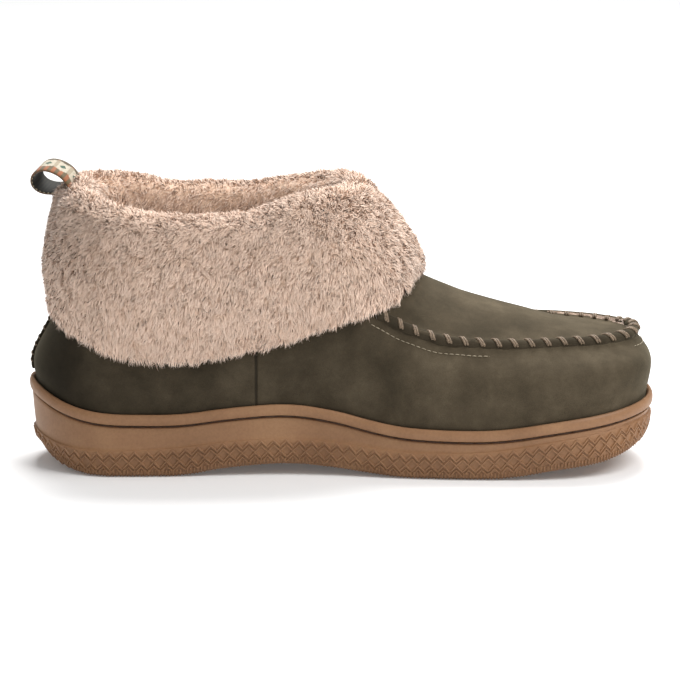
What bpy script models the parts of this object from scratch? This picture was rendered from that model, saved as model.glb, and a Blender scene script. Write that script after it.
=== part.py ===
"""House slipper for a left foot: a moulded cup outsole, an insole, a hollow moccasin upper, a turned-down
fleece cuff and a woven pull loop at the heel.

Metres, +Z up, toe towards +X, the inner (big toe) side of the foot towards -Y. The last's own frame starts
at the back of the heel on the floor, and the whole slipper is then centred on its box.
"""

import math
from bisect import bisect_right
from collections import namedtuple

import bmesh
import bpy
import numpy as np
from mathutils import Matrix, Vector
from mathutils.bvhtree import BVHTree

MM = 0.001
CLEARANCE = 0.3 * MM
SEAT_GAP = 0.5 * MM

# Driving sizes of the last and the sole
SOLE_LENGTH = 270 * MM
BALL_WIDTH = 101 * MM
RIM_HEIGHT = 38 * MM
COLLAR_HEIGHT = 112 * MM
HEEL_ROUND = 38 * MM
TOE_ROUND = 56 * MM
HEEL_SQUARENESS = 2.0
TOE_SQUARENESS = 2.5

# Moulded outsole
CUP_WALL = 3.2 * MM
BEAD_HEIGHT = 5.2 * MM
BEAD_CROWN = 1.6 * MM
GROOVE_HEIGHT = 1.2 * MM
GROOVE_DEPTH = 1.0 * MM
BAND_STEP = 0.9 * MM
BAND_SET_IN = 0.4 * MM
TREAD_EDGE_ROUND = 3.4 * MM
TREAD_EDGE_RISE = 2.6 * MM
TREAD_GROOVE_WIDTH = 2.6 * MM
TREAD_GROOVE_DEPTH = 1.5 * MM
TREAD_MARGIN = 11 * MM
# Shares of the sole's length
TREAD_GROOVES = (0.12, 0.155, 0.19, 0.225, 0.62, 0.655, 0.69, 0.725)

# Suede upper
UPPER_WALL = 2.5 * MM
BULGE_SET_IN = 1.2 * MM
BULGE_RISE = 8.0 * MM
SEAM_HEIGHT = 2.9 * MM
SEAM_WIDTH = 3.8 * MM

# Insole
INSOLE_THICKNESS = 6.5 * MM
INSOLE_EDGE_ROUND = 1.5 * MM

# Fleece cuff, folded down over the collar edge
CUFF_PILE = 12.0 * MM
CUFF_INSIDE_PILE = 8.0 * MM
CUFF_CREST = 10.5 * MM
CUFF_INSIDE_DEPTH = 24.0 * MM
OPENING_BACK = 58 * MM
OPENING_FRONT = 100 * MM
INSTEP_LIFT = 0.65
CUFF_CLEARANCE = 0.8 * MM
THROAT_SLACK = 1.2
LOCK_RELIEF = 1.3 * MM
LOCK_LENGTH = 4.2 * MM
CUFF_LOCKS = 43

# Woven pull loop
LOOP_TAPE_WIDTH = 12.0 * MM
LOOP_TAPE_THICKNESS = 1.4 * MM
LOOP_LENGTH = 17.5 * MM
LOOP_HEIGHT = 17.5 * MM
LOOP_LEAN = math.radians(15)
LOOP_TURN = math.radians(-23)
LOOP_SLOT_CLEARANCE = 0.35 * MM

# How finely each round is cut
SIDE_STATIONS = 34
FLOOR_STRIPS = 4

MEDIAL, LATERAL = -1, 1
UP = Vector((0, 0, 1))

# Along: share of the sole's length. Centre: share of the ball width. Half: share of half the ball width.
# Tuck is how far the tread's edge lies in under the rim. It, the ground, floor, band and rims are shares of
# the rim's height at the back of the heel.
SoleRow = namedtuple("SoleRow", "along centre half tuck ground floor band rim_medial rim_lateral")
SOLE_ROWS = [
    SoleRow(0.00, 0.00, 0.75, 0.105, 0.23, 0.42, 0.42, 1.00, 1.00),
    SoleRow(0.02, 0.00, 0.75, 0.090, 0.19, 0.39, 0.37, 0.935, 0.935),
    SoleRow(0.05, 0.00, 0.75, 0.058, 0.09, 0.36, 0.32, 0.84, 0.84),
    SoleRow(0.09, 0.00, 0.75, 0.020, 0.010, 0.34, 0.30, 0.765, 0.765),
    SoleRow(0.14, 0.00, 0.75, 0.000, 0.00, 0.33, 0.30, 0.728, 0.728),
    SoleRow(0.23, 0.00, 0.75, 0.000, 0.00, 0.33, 0.325, 0.722, 0.72),
    SoleRow(0.32, 0.01, 0.745, 0.000, 0.085, 0.35, 0.395, 0.79, 0.76),
    SoleRow(0.41, 0.02, 0.75, 0.000, 0.125, 0.36, 0.425, 0.83, 0.775),
    SoleRow(0.48, 0.03, 0.80, 0.000, 0.090, 0.34, 0.395, 0.765, 0.73),
    SoleRow(0.55, 0.035, 0.88, 0.000, 0.030, 0.29, 0.335, 0.65, 0.64),
    SoleRow(0.60, 0.035, 0.94, 0.000, 0.00, 0.26, 0.30, 0.59, 0.59),
    SoleRow(0.70, 0.03, 1.00, 0.000, 0.00, 0.24, 0.305, 0.57, 0.57),
    SoleRow(0.74, 0.025, 1.005, 0.000, 0.005, 0.25, 0.33, 0.58, 0.58),
    SoleRow(0.84, 0.005, 0.985, 0.000, 0.105, 0.33, 0.445, 0.677, 0.677),
    SoleRow(0.91, -0.02, 0.94, 0.010, 0.165, 0.40, 0.515, 0.735, 0.735),
    SoleRow(0.96, -0.045, 0.89, 0.035, 0.26, 0.46, 0.57, 0.79, 0.79),
    SoleRow(1.00, -0.065, 0.85, 0.060, 0.37, 0.54, 0.61, 0.845, 0.845),
]

# Along: share of the way round one side of the sole, from the heel to the toe. Wall_in: share of the ball
# width. Seam_x: share of the sole's length. Seam_half: share of half the ball width. Wall_up and seam_up:
# shares of the collar's height.
UpperRow = namedtuple("UpperRow", "along wall_in wall_up seam_x seam_half seam_up")
UPPER_ROWS = [
    UpperRow(0.00, 0.143, 0.62, 0.076, 0.00, 0.93),
    UpperRow(0.06, 0.125, 0.62, 0.088, 0.34, 0.925),
    UpperRow(0.12, 0.075, 0.62, 0.123, 0.58, 0.91),
    UpperRow(0.18, 0.035, 0.62, 0.173, 0.70, 0.89),
    UpperRow(0.26, 0.010, 0.62, 0.240, 0.74, 0.875),
    UpperRow(0.34, 0.005, 0.62, 0.315, 0.74, 0.865),
    UpperRow(0.40, 0.010, 0.60, 0.385, 0.73, 0.845),
    UpperRow(0.44, 0.018, 0.58, 0.432, 0.72, 0.79),
    UpperRow(0.47, 0.024, 0.56, 0.468, 0.71, 0.74),
    UpperRow(0.50, 0.030, 0.53, 0.503, 0.70, 0.688),
    UpperRow(0.54, 0.034, 0.495, 0.545, 0.69, 0.630),
    UpperRow(0.58, 0.036, 0.46, 0.589, 0.70, 0.572),
    UpperRow(0.62, 0.036, 0.43, 0.633, 0.72, 0.530),
    UpperRow(0.67, 0.036, 0.415, 0.688, 0.72, 0.503),
    UpperRow(0.74, 0.034, 0.41, 0.768, 0.68, 0.492),
    UpperRow(0.80, 0.030, 0.42, 0.836, 0.62, 0.494),
    UpperRow(0.86, 0.026, 0.43, 0.896, 0.52, 0.497),
    UpperRow(0.92, 0.022, 0.437, 0.939, 0.36, 0.501),
    UpperRow(0.96, 0.020, 0.44, 0.960, 0.20, 0.506),
    UpperRow(1.00, 0.020, 0.44, 0.967, 0.00, 0.509),
]
THROAT = 0.50
SEAM_STARTS = 0.522
SEAM_FULL_FROM = 0.56

# The collar's edge up to the throat, and the ridge over the foot past it. Along as the upper's. X: share of
# the sole's length. Half: share of half the ball width. Up: share of the collar's height.
TopRow = namedtuple("TopRow", "along x half up")
COLLAR_ROWS = [
    TopRow(0.00, 0.078, 0.00, 1.000),
    TopRow(0.06, 0.088, 0.33, 0.995),
    TopRow(0.12, 0.124, 0.565, 0.980),
    TopRow(0.18, 0.172, 0.68, 0.965),
    TopRow(0.26, 0.238, 0.73, 0.945),
    TopRow(0.34, 0.312, 0.73, 0.940),
    TopRow(0.40, 0.378, 0.69, 0.950),
    TopRow(0.44, 0.430, 0.60, 0.968),
    TopRow(0.47, 0.472, 0.43, 0.986),
    TopRow(0.488, 0.495, 0.22, 0.997),
    TopRow(0.50, 0.504, 0.00, 1.000),
]
RIDGE_ROWS = [
    TopRow(0.50, 0.504, 0.00, 1.000),
    TopRow(0.54, 0.545, 0.00, 0.868),
    TopRow(0.58, 0.585, 0.00, 0.785),
    TopRow(0.62, 0.633, 0.00, 0.713),
    TopRow(0.67, 0.690, 0.00, 0.648),
    TopRow(0.74, 0.772, 0.00, 0.593),
    TopRow(0.80, 0.826, 0.00, 0.558),
    TopRow(0.86, 0.870, 0.00, 0.531),
    TopRow(0.92, 0.905, 0.00, 0.513),
    TopRow(0.96, 0.922, 0.00, 0.510),
    TopRow(1.00, 0.930, 0.00, 0.511),
]

# The lower edge of the fleece. Along as the upper's. Level: 0 is the rim, 1 the seam line and 2 the top.
# Fullness: share of the pile's depth. The crests: shares of the crest's height over the collar's edge.
HemRow = namedtuple("HemRow", "along level fullness crest_medial crest_lateral")
HEM_ROWS = [
    HemRow(0.00, 0.615, 0.82, 1.12, 1.12),
    HemRow(0.06, 0.590, 0.84, 1.05, 1.15),
    HemRow(0.12, 0.545, 0.90, 0.96, 1.22),
    HemRow(0.165, 0.495, 0.95, 0.90, 1.25),
    HemRow(0.205, 0.440, 1.00, 0.86, 1.32),
    HemRow(0.30, 0.420, 1.00, 0.86, 1.06),
    HemRow(0.385, 0.480, 1.00, 0.92, 1.05),
    HemRow(0.45, 0.595, 1.00, 0.98, 1.10),
    HemRow(0.51, 0.83, 1.02, 1.08, 1.18),
    HemRow(0.56, 1.11, 1.08, 1.05, 1.06),
    HemRow(0.592, 1.45, 1.12, 1.00, 1.00),
    HemRow(0.612, 2.00, 1.14, 0.98, 0.98),
]
# Down the outside of the fleece from the fold. Share: of the way to its hem. Depth: share of the pile's depth.
PileRow = namedtuple("PileRow", "share depth")
PILE_ROWS = [
    PileRow(0.97, 0.30),
    PileRow(0.88, 0.58),
    PileRow(0.74, 0.84),
    PileRow(0.56, 1.00),
    PileRow(0.38, 1.06),
    PileRow(0.20, 1.02),
    PileRow(0.05, 0.92),
]

# The tape's middle line from the collar edge at the heel, as shares of the loop's length and height
LOOP_SHAPE = [
    (0.04, 0.09),
    (0.05, 0.36),
    (0.00, 0.62),
    (-0.13, 0.82),
    (-0.34, 0.95),
    (-0.58, 1.00),
    (-0.80, 0.94),
    (-0.95, 0.77),
    (-0.96, 0.58),
    (-0.84, 0.44),
    (-0.64, 0.38),
    (-0.42, 0.38),
    (-0.22, 0.33),
    (-0.12, 0.10),
]


def reading(rows, column, along):
    """One column of a table, read smoothly and without overshoot at a place between its rows."""
    places = [row.along for row in rows]
    values = [getattr(row, column) for row in rows]
    first = min(max(bisect_right(places, along) - 1, 0), len(rows) - 2)
    rise = [(values[i + 1] - values[i]) / (places[i + 1] - places[i]) for i in range(len(rows) - 1)]

    def slope(i):
        if i in (0, len(rows) - 1):
            return rise[min(i, len(rise) - 1)]
        before, after = rise[i - 1], rise[i]
        return 0.0 if before * after <= 0 else 2 * before * after / (before + after)

    step = places[first + 1] - places[first]
    q = min(max((along - places[first]) / step, 0.0), 1.0)
    start, end = values[first], values[first + 1]
    bend = q * q * (3 - 2 * q)
    return (
        start
        + (end - start) * bend
        + step * q * (1 - q) * ((1 - q) * slope(first) - q * slope(first + 1))
    )


def eased(low, high, value):
    """0 below low, 1 above high, and a smooth step between them."""
    q = min(max((value - low) / (high - low), 0.0), 1.0)
    return q * q * (3 - 2 * q)


def end_rounding(along):
    """How much of the half width is left at a place, where the heel and the toe are rounded off."""
    heel, toe = HEEL_ROUND / SOLE_LENGTH, TOE_ROUND / SOLE_LENGTH
    from_heel = min(max((heel - along) / heel, 0.0), 1.0)
    from_toe = min(max((along - 1 + toe) / toe, 0.0), 1.0)
    return (1 - from_heel**HEEL_SQUARENESS) ** (1 / HEEL_SQUARENESS) * (
        1 - from_toe**TOE_SQUARENESS
    ) ** (1 / TOE_SQUARENESS)


def sole_centre(along):
    return reading(SOLE_ROWS, "centre", along) * BALL_WIDTH


def plan_point(along, side):
    """A point of the sole's outline seen from above."""
    half = reading(SOLE_ROWS, "half", along) * BALL_WIDTH / 2 * end_rounding(along)
    return along * SOLE_LENGTH, sole_centre(along) + side * half


def outline_sides(samples=600):
    """For each side, the outline by its own length: shares of the way, points and outward normals."""
    places = [(1 - math.cos(math.pi * i / samples)) / 2 for i in range(samples + 1)]
    points = {side: np.array([plan_point(p, side) for p in places]) for side in (MEDIAL, LATERAL)}
    ring = np.concatenate([points[MEDIAL], points[LATERAL][-2:0:-1]])
    along = np.roll(ring, -1, axis=0) - np.roll(ring, 1, axis=0)
    along /= np.linalg.norm(along, axis=1)[:, None]
    outward = np.stack([along[:, 1], -along[:, 0]], axis=1)
    normals = {
        MEDIAL: outward[: samples + 1],
        LATERAL: np.concatenate([outward[:1], outward[: samples - 1 : -1]]),
    }
    sides = {}
    for side in (MEDIAL, LATERAL):
        steps = np.linalg.norm(np.diff(points[side], axis=0), axis=1)
        way = np.concatenate([[0], np.cumsum(steps)])
        sides[side] = (way / way[-1], points[side], normals[side])
    return sides


OUTLINE = outline_sides()


def outline(along, side, inset=0.0):
    """A point that lies inset from the sole's outline, and the outward normal there, seen from above."""
    way, points, normals = OUTLINE[side]
    point = np.array([np.interp(along, way, points[:, i]) for i in (0, 1)])
    normal = np.array([np.interp(along, way, normals[:, i]) for i in (0, 1)])
    normal /= np.linalg.norm(normal)
    return point - inset * normal, normal


def sole_height(column, x, side=MEDIAL):
    """A height of the sole over the floor at a place along it."""
    name = {"rim": "rim_medial" if side == MEDIAL else "rim_lateral"}.get(column, column)
    return reading(SOLE_ROWS, name, x / SOLE_LENGTH) * RIM_HEIGHT


def stations():
    """(share of the side, side) for each column of a ring: heel, inner side, toe, outer side."""
    places = sorted([i / SIDE_STATIONS for i in range(SIDE_STATIONS + 1)] + [0.4853, 0.5147])
    inner = [(place, MEDIAL) for place in places]
    outer = [(place, LATERAL) for place in places[-2:0:-1]]
    return inner + outer


def add_ring(mesh, points):
    return [mesh.verts.new(point) for point in points]


def join_rings(mesh, below, above):
    """Quads between two closed rings of the same count, which point outwards when above is further up."""
    count = len(below)
    for i in range(count):
        j = (i + 1) % count
        corners = [below[i], below[j], above[j], above[i]]
        used = [v for k, v in enumerate(corners) if v not in corners[:k]]
        if len(used) > 2:
            mesh.faces.new(used)


def close_ring(mesh, ring, height, facing_up):
    """Closes a ring with strips across the foot, each with its own heights."""
    half = len(ring) // 2
    rows = [[ring[0]] * (FLOOR_STRIPS + 1)]
    for i in range(1, half):
        medial, lateral = ring[i], ring[-i]
        row = [medial]
        for k in range(1, FLOOR_STRIPS):
            point = medial.co.lerp(lateral.co, k / FLOOR_STRIPS)
            point.z = height(point.x)
            row.append(mesh.verts.new(point))
        rows.append([*row, lateral])
    rows.append([ring[half]] * (FLOOR_STRIPS + 1))
    for back, front in zip(rows, rows[1:]):
        for k in range(FLOOR_STRIPS):
            corners = [back[k], front[k], front[k + 1], back[k + 1]]
            used = [v for i, v in enumerate(corners) if v not in corners[:i]]
            if facing_up:
                used.reverse()
            mesh.faces.new(used)


def material(name, colour, roughness, sheen=0.0):
    made = bpy.data.materials.new(name)
    made.use_nodes = True
    shader = made.node_tree.nodes["Principled BSDF"]
    shader.inputs["Base Color"].default_value = (*colour, 1)
    shader.inputs["Roughness"].default_value = roughness
    shader.inputs["Metallic"].default_value = 0.0
    shader.inputs["Sheen Weight"].default_value = sheen
    made.diffuse_color = (*colour, 1)
    return made


def add_object(name, mesh, finish, parent, smooth_below=40):
    """A named object of a bmesh, shaded smooth where its faces meet gently."""
    bmesh.ops.remove_doubles(mesh, verts=mesh.verts, dist=0.002 * MM)
    bmesh.ops.recalc_face_normals(mesh, faces=mesh.faces)
    if mesh.calc_volume(signed=True) < 0:
        bmesh.ops.reverse_faces(mesh, faces=mesh.faces)
    data = bpy.data.meshes.new(name)
    mesh.to_mesh(data)
    mesh.free()
    data.shade_smooth()
    data.set_sharp_from_angle(angle=math.radians(smooth_below))
    data.materials.append(finish)
    made = bpy.data.objects.new(name, data)
    bpy.context.scene.collection.objects.link(made)
    made.parent = parent
    return made


def outsole_profile(along, side):
    """The outside, rim and inside of the cup at one station: points from the tread's edge to the floor."""
    base, _ = outline(along, side)
    x = base[0]
    ground, band = sole_height("ground", x), sole_height("band", x)
    rim = sole_height("rim", x, side)
    bead_foot = rim - BEAD_HEIGHT
    groove_foot = bead_foot - GROOVE_HEIGHT
    smooth_band = BAND_SET_IN + BAND_STEP
    tuck = sole_height("tuck", x)
    levels = [
        (TREAD_EDGE_ROUND + tuck, "ground"),
        (TREAD_EDGE_ROUND * 0.35 + tuck, ground + TREAD_EDGE_RISE * 0.35),
        (BAND_SET_IN + tuck * 0.95, ground + TREAD_EDGE_RISE),
        (BAND_SET_IN * 0.6 + tuck * 0.7, (ground + band) / 2),
        (BAND_SET_IN + tuck * 0.42, band),
        (smooth_band + tuck * 0.36, band + BAND_STEP * 0.5),
        (smooth_band + tuck * 0.14, (band + groove_foot) / 2 + BAND_STEP * 0.2),
        (smooth_band, groove_foot),
        (smooth_band + GROOVE_DEPTH, bead_foot - GROOVE_HEIGHT * 0.6),
        (smooth_band + GROOVE_DEPTH * 0.8, bead_foot - GROOVE_HEIGHT * 0.1),
        (BAND_SET_IN, bead_foot + GROOVE_HEIGHT * 0.15),
        (0.0, rim - BEAD_HEIGHT * 0.6),
        (BAND_SET_IN, rim - BEAD_HEIGHT * 0.2),
        (BEAD_CROWN, rim),
        (CUP_WALL - CLEARANCE, rim - BEAD_CROWN * 0.9),
        (CUP_WALL, rim - BEAD_CROWN * 2),
        (CUP_WALL, "floor"),
    ]
    profile = []
    for inset, height in levels:
        (px, py), _ = outline(along, side, inset)
        profile.append(Vector((px, py, sole_height(height, px) if height in ("ground", "floor") else height)))
    return profile


def tread_cutter(parent):
    """Shallow flex grooves across the heel and the forefoot, which stop short of the tread's edge."""
    mesh = bmesh.new()
    for place in TREAD_GROOVES:
        x = place * SOLE_LENGTH
        half = reading(SOLE_ROWS, "half", place) * BALL_WIDTH / 2 - TREAD_MARGIN
        centre = Vector((x, sole_centre(place), sole_height("ground", x)))
        size = Matrix.Diagonal((TREAD_GROOVE_WIDTH, 2 * half, 2 * TREAD_GROOVE_DEPTH, 1))
        bmesh.ops.create_cube(mesh, size=1, matrix=Matrix.Translation(centre) @ size)
    cutter = add_object("tread_cutter", mesh, material("cutter", (1, 0, 0), 1), parent)
    cutter.hide_render = True
    cutter.display_type = "WIRE"
    return cutter


def build_outsole(parent):
    """One moulding: tread, patterned band, smooth band, stitched groove and the round bead at the rim."""
    mesh = bmesh.new()
    columns = [outsole_profile(along, side) for along, side in stations()]
    rings = [add_ring(mesh, points) for points in zip(*columns)]
    for below, above in zip(rings, rings[1:]):
        join_rings(mesh, below, above)
    close_ring(mesh, rings[0], lambda x: sole_height("ground", x), facing_up=False)
    close_ring(mesh, rings[-1], lambda x: sole_height("floor", x), facing_up=True)
    made = add_object("outsole", mesh, material("tan_rubber", (0.27, 0.15, 0.08), 0.55), parent)
    grooves = made.modifiers.new("tread_grooves", "BOOLEAN")
    grooves.operation = "DIFFERENCE"
    grooves.object = tread_cutter(parent)
    return made


def insole_height(x):
    return sole_height("floor", x) + SEAT_GAP + INSOLE_THICKNESS


def build_insole(parent):
    """A padded footbed that fills the cup inside the upper."""
    inset = CUP_WALL + CLEARANCE + UPPER_WALL + CLEARANCE
    levels = [
        (inset, lambda x: sole_height("floor", x) + SEAT_GAP),
        (inset, lambda x: insole_height(x) - INSOLE_EDGE_ROUND),
        (inset + INSOLE_EDGE_ROUND, insole_height),
    ]
    mesh = bmesh.new()
    rings = []
    for inward, height in levels:
        points = [outline(along, side, inward)[0] for along, side in stations()]
        rings.append(add_ring(mesh, [Vector((x, y, height(x))) for x, y in points]))
    for below, above in zip(rings, rings[1:]):
        join_rings(mesh, below, above)
    close_ring(mesh, rings[0], levels[0][1], facing_up=False)
    close_ring(mesh, rings[-1], insole_height, facing_up=True)
    return add_object("insole", mesh, material("insole_fleece", (0.50, 0.38, 0.29), 0.95, 0.5), parent)


def folded(along, side):
    """A place past the heel or the toe is on the other side."""
    if along < 0:
        return -along, -side
    if along > 1:
        return 2 - along, -side
    return along, side


def seam_point(along, side):
    """The line of the apron's seam, which runs on round the heel under the collar."""
    x = reading(UPPER_ROWS, "seam_x", along) * SOLE_LENGTH
    half = reading(UPPER_ROWS, "seam_half", along) * BALL_WIDTH / 2
    up = reading(UPPER_ROWS, "seam_up", along) * COLLAR_HEIGHT
    return Vector((x, sole_centre(x / SOLE_LENGTH) + side * half, up))


def top_point(along, side):
    """The collar's edge or, past the throat, the ridge over the foot."""
    rows = COLLAR_ROWS if along < THROAT else RIDGE_ROWS
    x = reading(rows, "x", along) * SOLE_LENGTH
    half = reading(rows, "half", along) * BALL_WIDTH / 2
    up = reading(rows, "up", along) * COLLAR_HEIGHT
    return Vector((x, sole_centre(x / SOLE_LENGTH) + side * half, up))


def wall_point(along, side, share):
    """The upper's wall from the rim (share 0) to the seam line (share 1)."""
    upper_inset = CUP_WALL + CLEARANCE
    (rx, ry), _ = outline(along, side, upper_inset)
    rim = sole_height("rim", outline(along, side)[0][0], side)
    (bx, by), _ = outline(along, side, BULGE_SET_IN)
    wall_in = reading(UPPER_ROWS, "wall_in", along) * BALL_WIDTH
    (wx, wy), _ = outline(along, side, wall_in)
    knots = [0.0, 0.22, 0.62, 1.0]
    points = [
        Vector((rx, ry, rim - BEAD_CROWN)),
        Vector((bx, by, rim + BULGE_RISE)),
        Vector((wx, wy, reading(UPPER_ROWS, "wall_up", along) * COLLAR_HEIGHT)),
        seam_point(along, side),
    ]
    return through(points, knots, share)


def through(points, knots, place):
    """A smooth curve through a few points, at a place between its knots."""
    first = min(max(bisect_right(knots, place) - 1, 0), len(knots) - 2)
    rises = [(points[i + 1] - points[i]) / (knots[i + 1] - knots[i]) for i in range(len(points) - 1)]

    def slope(i):
        if i == 0:
            return rises[0]
        if i == len(points) - 1:
            return rises[-1]
        before, after = knots[i] - knots[i - 1], knots[i + 1] - knots[i]
        return (rises[i - 1] * after + rises[i] * before) / (before + after)

    step = knots[first + 1] - knots[first]
    q = (place - knots[first]) / step
    a, b = points[first], points[first + 1]
    bend = q * q * (3 - 2 * q)
    tangents = slope(first) * (1 - q) - slope(first + 1) * q
    return a + (b - a) * bend + tangents * (step * q * (1 - q))


def crown_point(along, side, share):
    """From the seam line (share 0) to the collar edge or, past the throat, to the ridge over the foot."""
    seam, top = seam_point(along, side), top_point(along, side)
    chord = top - seam
    length = chord.length
    _, (nx, ny) = outline(along, side)
    outward = Vector((nx, ny, 0))
    if along >= THROAT:
        across = math.hypot(chord.x, chord.y)
        swell = length / 2 * math.tan(math.atan2(chord.z, across) / 2)
    else:
        swell = length / 5 * eased(0.38, THROAT, along)
    if swell < 0.05 * MM:
        return seam + chord * share
    unit = chord / length
    bulge = (outward - unit * outward.dot(unit)).normalized()
    radius = (length * length / 4 + swell * swell) / (2 * swell)
    angle = math.asin(min(length / (2 * radius), 1.0))
    turn = angle * (2 * share - 1)
    forward = radius * (math.sin(angle) + math.sin(turn))
    return seam + unit * forward + bulge * (radius * (math.cos(turn) - math.cos(angle)))


def surface(along, side, level):
    """The upper's outer face. Level 0 is the rim, 1 the seam line and 2 the collar edge or the ridge."""
    along, side = folded(along, side)
    if level <= 1:
        return wall_point(along, side, level)
    return crown_point(along, side, level - 1)


def face_normal(along, side, level):
    """The outward normal of the upper's face on one side of the foot."""
    step = 0.004
    before = 0.0 if abs(along - THROAT) < 1e-6 and level > 1 else step
    low, high = max(level - step, 0.0), min(level + step, 2.0)
    if low < 1 <= level:
        low = 1.0
    if level < 1 < high:
        high = 1.0
    around = surface(along + step, side, level) - surface(along - before, side, level)
    upward = surface(along, side, high) - surface(along, side, low)
    return (upward.cross(around) * side).normalized()


def surface_normal(along, side, level):
    """The outward normal of the upper's face, which the two sides share at the heel, the toe and the ridge."""
    normal = face_normal(along, side, level)
    shared = along in (0, 1) or level > 1.99 and along >= THROAT - 1e-6
    if shared:
        normal = normal + face_normal(along, -side, level)
        normal.y = 0
    return normal.normalized()


def seam_swell(along):
    return eased(SEAM_STARTS, SEAM_FULL_FROM, along)


def upper_outside(along, side):
    """The upper's outer face at one station, from its foot in the cup to the top, with the raised seam."""
    (fx, fy), _ = outline(along, side, CUP_WALL + CLEARANCE)
    foot = Vector((fx, fy, sole_height("floor", fx) + SEAT_GAP))
    wall_length = (surface(along, side, 1.0) - surface(along, side, 0.62)).length / 0.38
    near_seam = SEAM_WIDTH / 2 / wall_length
    column = [foot]
    column += [surface(along, side, share * (1 - near_seam)) for share in (0, 0.12, 0.28, 0.48, 0.7, 1)]
    swell = seam_swell(along) * SEAM_HEIGHT
    below = surface_normal(along, side, 1 - near_seam)
    crown_length = (surface(along, side, 2.0) - surface(along, side, 1.0)).length
    past = min(SEAM_WIDTH / 2 / crown_length, 0.15)
    above = surface_normal(along, side, 1 + past)
    ridge = (below + above).normalized()
    column.append(surface(along, side, 1 - near_seam * 0.7) + below * swell * 0.8)
    column.append(surface(along, side, 1.0) + ridge * swell)
    column.append(surface(along, side, 1 + past * 0.7) + above * swell * 0.8)
    column.append(surface(along, side, 1 + past))
    column += [surface(along, side, 1 + past + share * (1 - past)) for share in (0.25, 0.5, 0.75, 1)]
    return column


def upper_inside(along, side):
    """The upper's inner face at one station, a wall's thickness in from the plain outer face."""
    (fx, fy), _ = outline(along, side, CUP_WALL + CLEARANCE + UPPER_WALL)
    column = [Vector((fx, fy, sole_height("floor", fx) + SEAT_GAP))]
    for level in (0.0, 0.15, 0.4, 0.7, 1.0, 1.33, 1.67, 2.0):
        normal = surface_normal(along, side, level)
        if level == 1.0:
            normal = (normal + surface_normal(along, side, 1.05)).normalized()
        if level == 2.0 and along < THROAT:
            normal = (normal + surface_normal(along, side, 1.9)).normalized()
        column.append(surface(along, side, level) - normal * UPPER_WALL)
    return column


def build_upper(parent):
    """One hollow suede shell, open at the collar and underneath, with the seam round its apron standing up."""
    mesh = bmesh.new()
    outside = [upper_outside(along, side) for along, side in stations()]
    inside = [upper_inside(along, side) for along, side in stations()]
    outer = [add_ring(mesh, points) for points in zip(*outside)]
    inner = [add_ring(mesh, points) for points in zip(*inside)]
    for below, above in zip(outer, outer[1:]):
        join_rings(mesh, below, above)
    for below, above in zip(inner, inner[1:]):
        join_rings(mesh, above, below)
    join_rings(mesh, inner[0], outer[0])
    count = len(outer[-1])
    open_edge = [(i, (i + 1) % count) for i in range(count)]
    for i, j in open_edge:
        if min(stations()[i][0], stations()[j][0]) < THROAT - 1e-6:
            mesh.faces.new([outer[-1][i], outer[-1][j], inner[-1][j], inner[-1][i]])
    return add_object("upper", mesh, material("olive_suede", (0.105, 0.085, 0.055), 0.9, 0.35), parent)


def evenly(point_at, last, count, samples=400):
    """Places from 0 to last that are evenly spaced along a line of points."""
    places = np.linspace(0, last, samples + 1)
    points = np.array([point_at(place) for place in places])
    lengths = np.concatenate([[0], np.cumsum(np.linalg.norm(np.diff(points, axis=0), axis=1))])
    return np.interp(np.linspace(0, lengths[-1], count + 1), lengths, places)


def lock(column, row):
    """A repeatable value from -1 to 1 for each lock of the fleece."""
    return math.sin(12.9898 * column + 78.233 * row + 1.7) * math.cos(37.719 * column - 4.1 * row)


def pile_way(point):
    """The way that the pile stands at a point: out from the middle of the opening, and up over the instep."""
    middle = min(max(point.x, OPENING_BACK), OPENING_FRONT)
    flat = Vector((point.x - middle, point.y - sole_centre(middle / SOLE_LENGTH), 0)).normalized()
    lift = INSTEP_LIFT * eased(OPENING_FRONT, 0.52 * SOLE_LENGTH, point.x)
    return (flat + UP * lift).normalized()


def cuff_gap(point):
    """The gap under the fleece, which is wider where the upper turns sharply at the throat."""
    near = eased(0.40, 0.46, point.x / SOLE_LENGTH) * (1 - eased(0.53, 0.58, point.x / SOLE_LENGTH))
    return CUFF_CLEARANCE * (1 + THROAT_SLACK * near)


def face_tree(column_at):
    """One face of the upper as a tree that finds the nearest point on it."""
    columns = [column_at(along, side) for along, side in stations()]
    rows, count = len(columns[0]), len(columns)
    faces = [
        (i * rows + k, (i + 1) % count * rows + k, (i + 1) % count * rows + k + 1, i * rows + k + 1)
        for i in range(count)
        for k in range(rows - 1)
    ]
    return BVHTree.FromPolygons([point for column in columns for point in column], faces)


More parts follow.
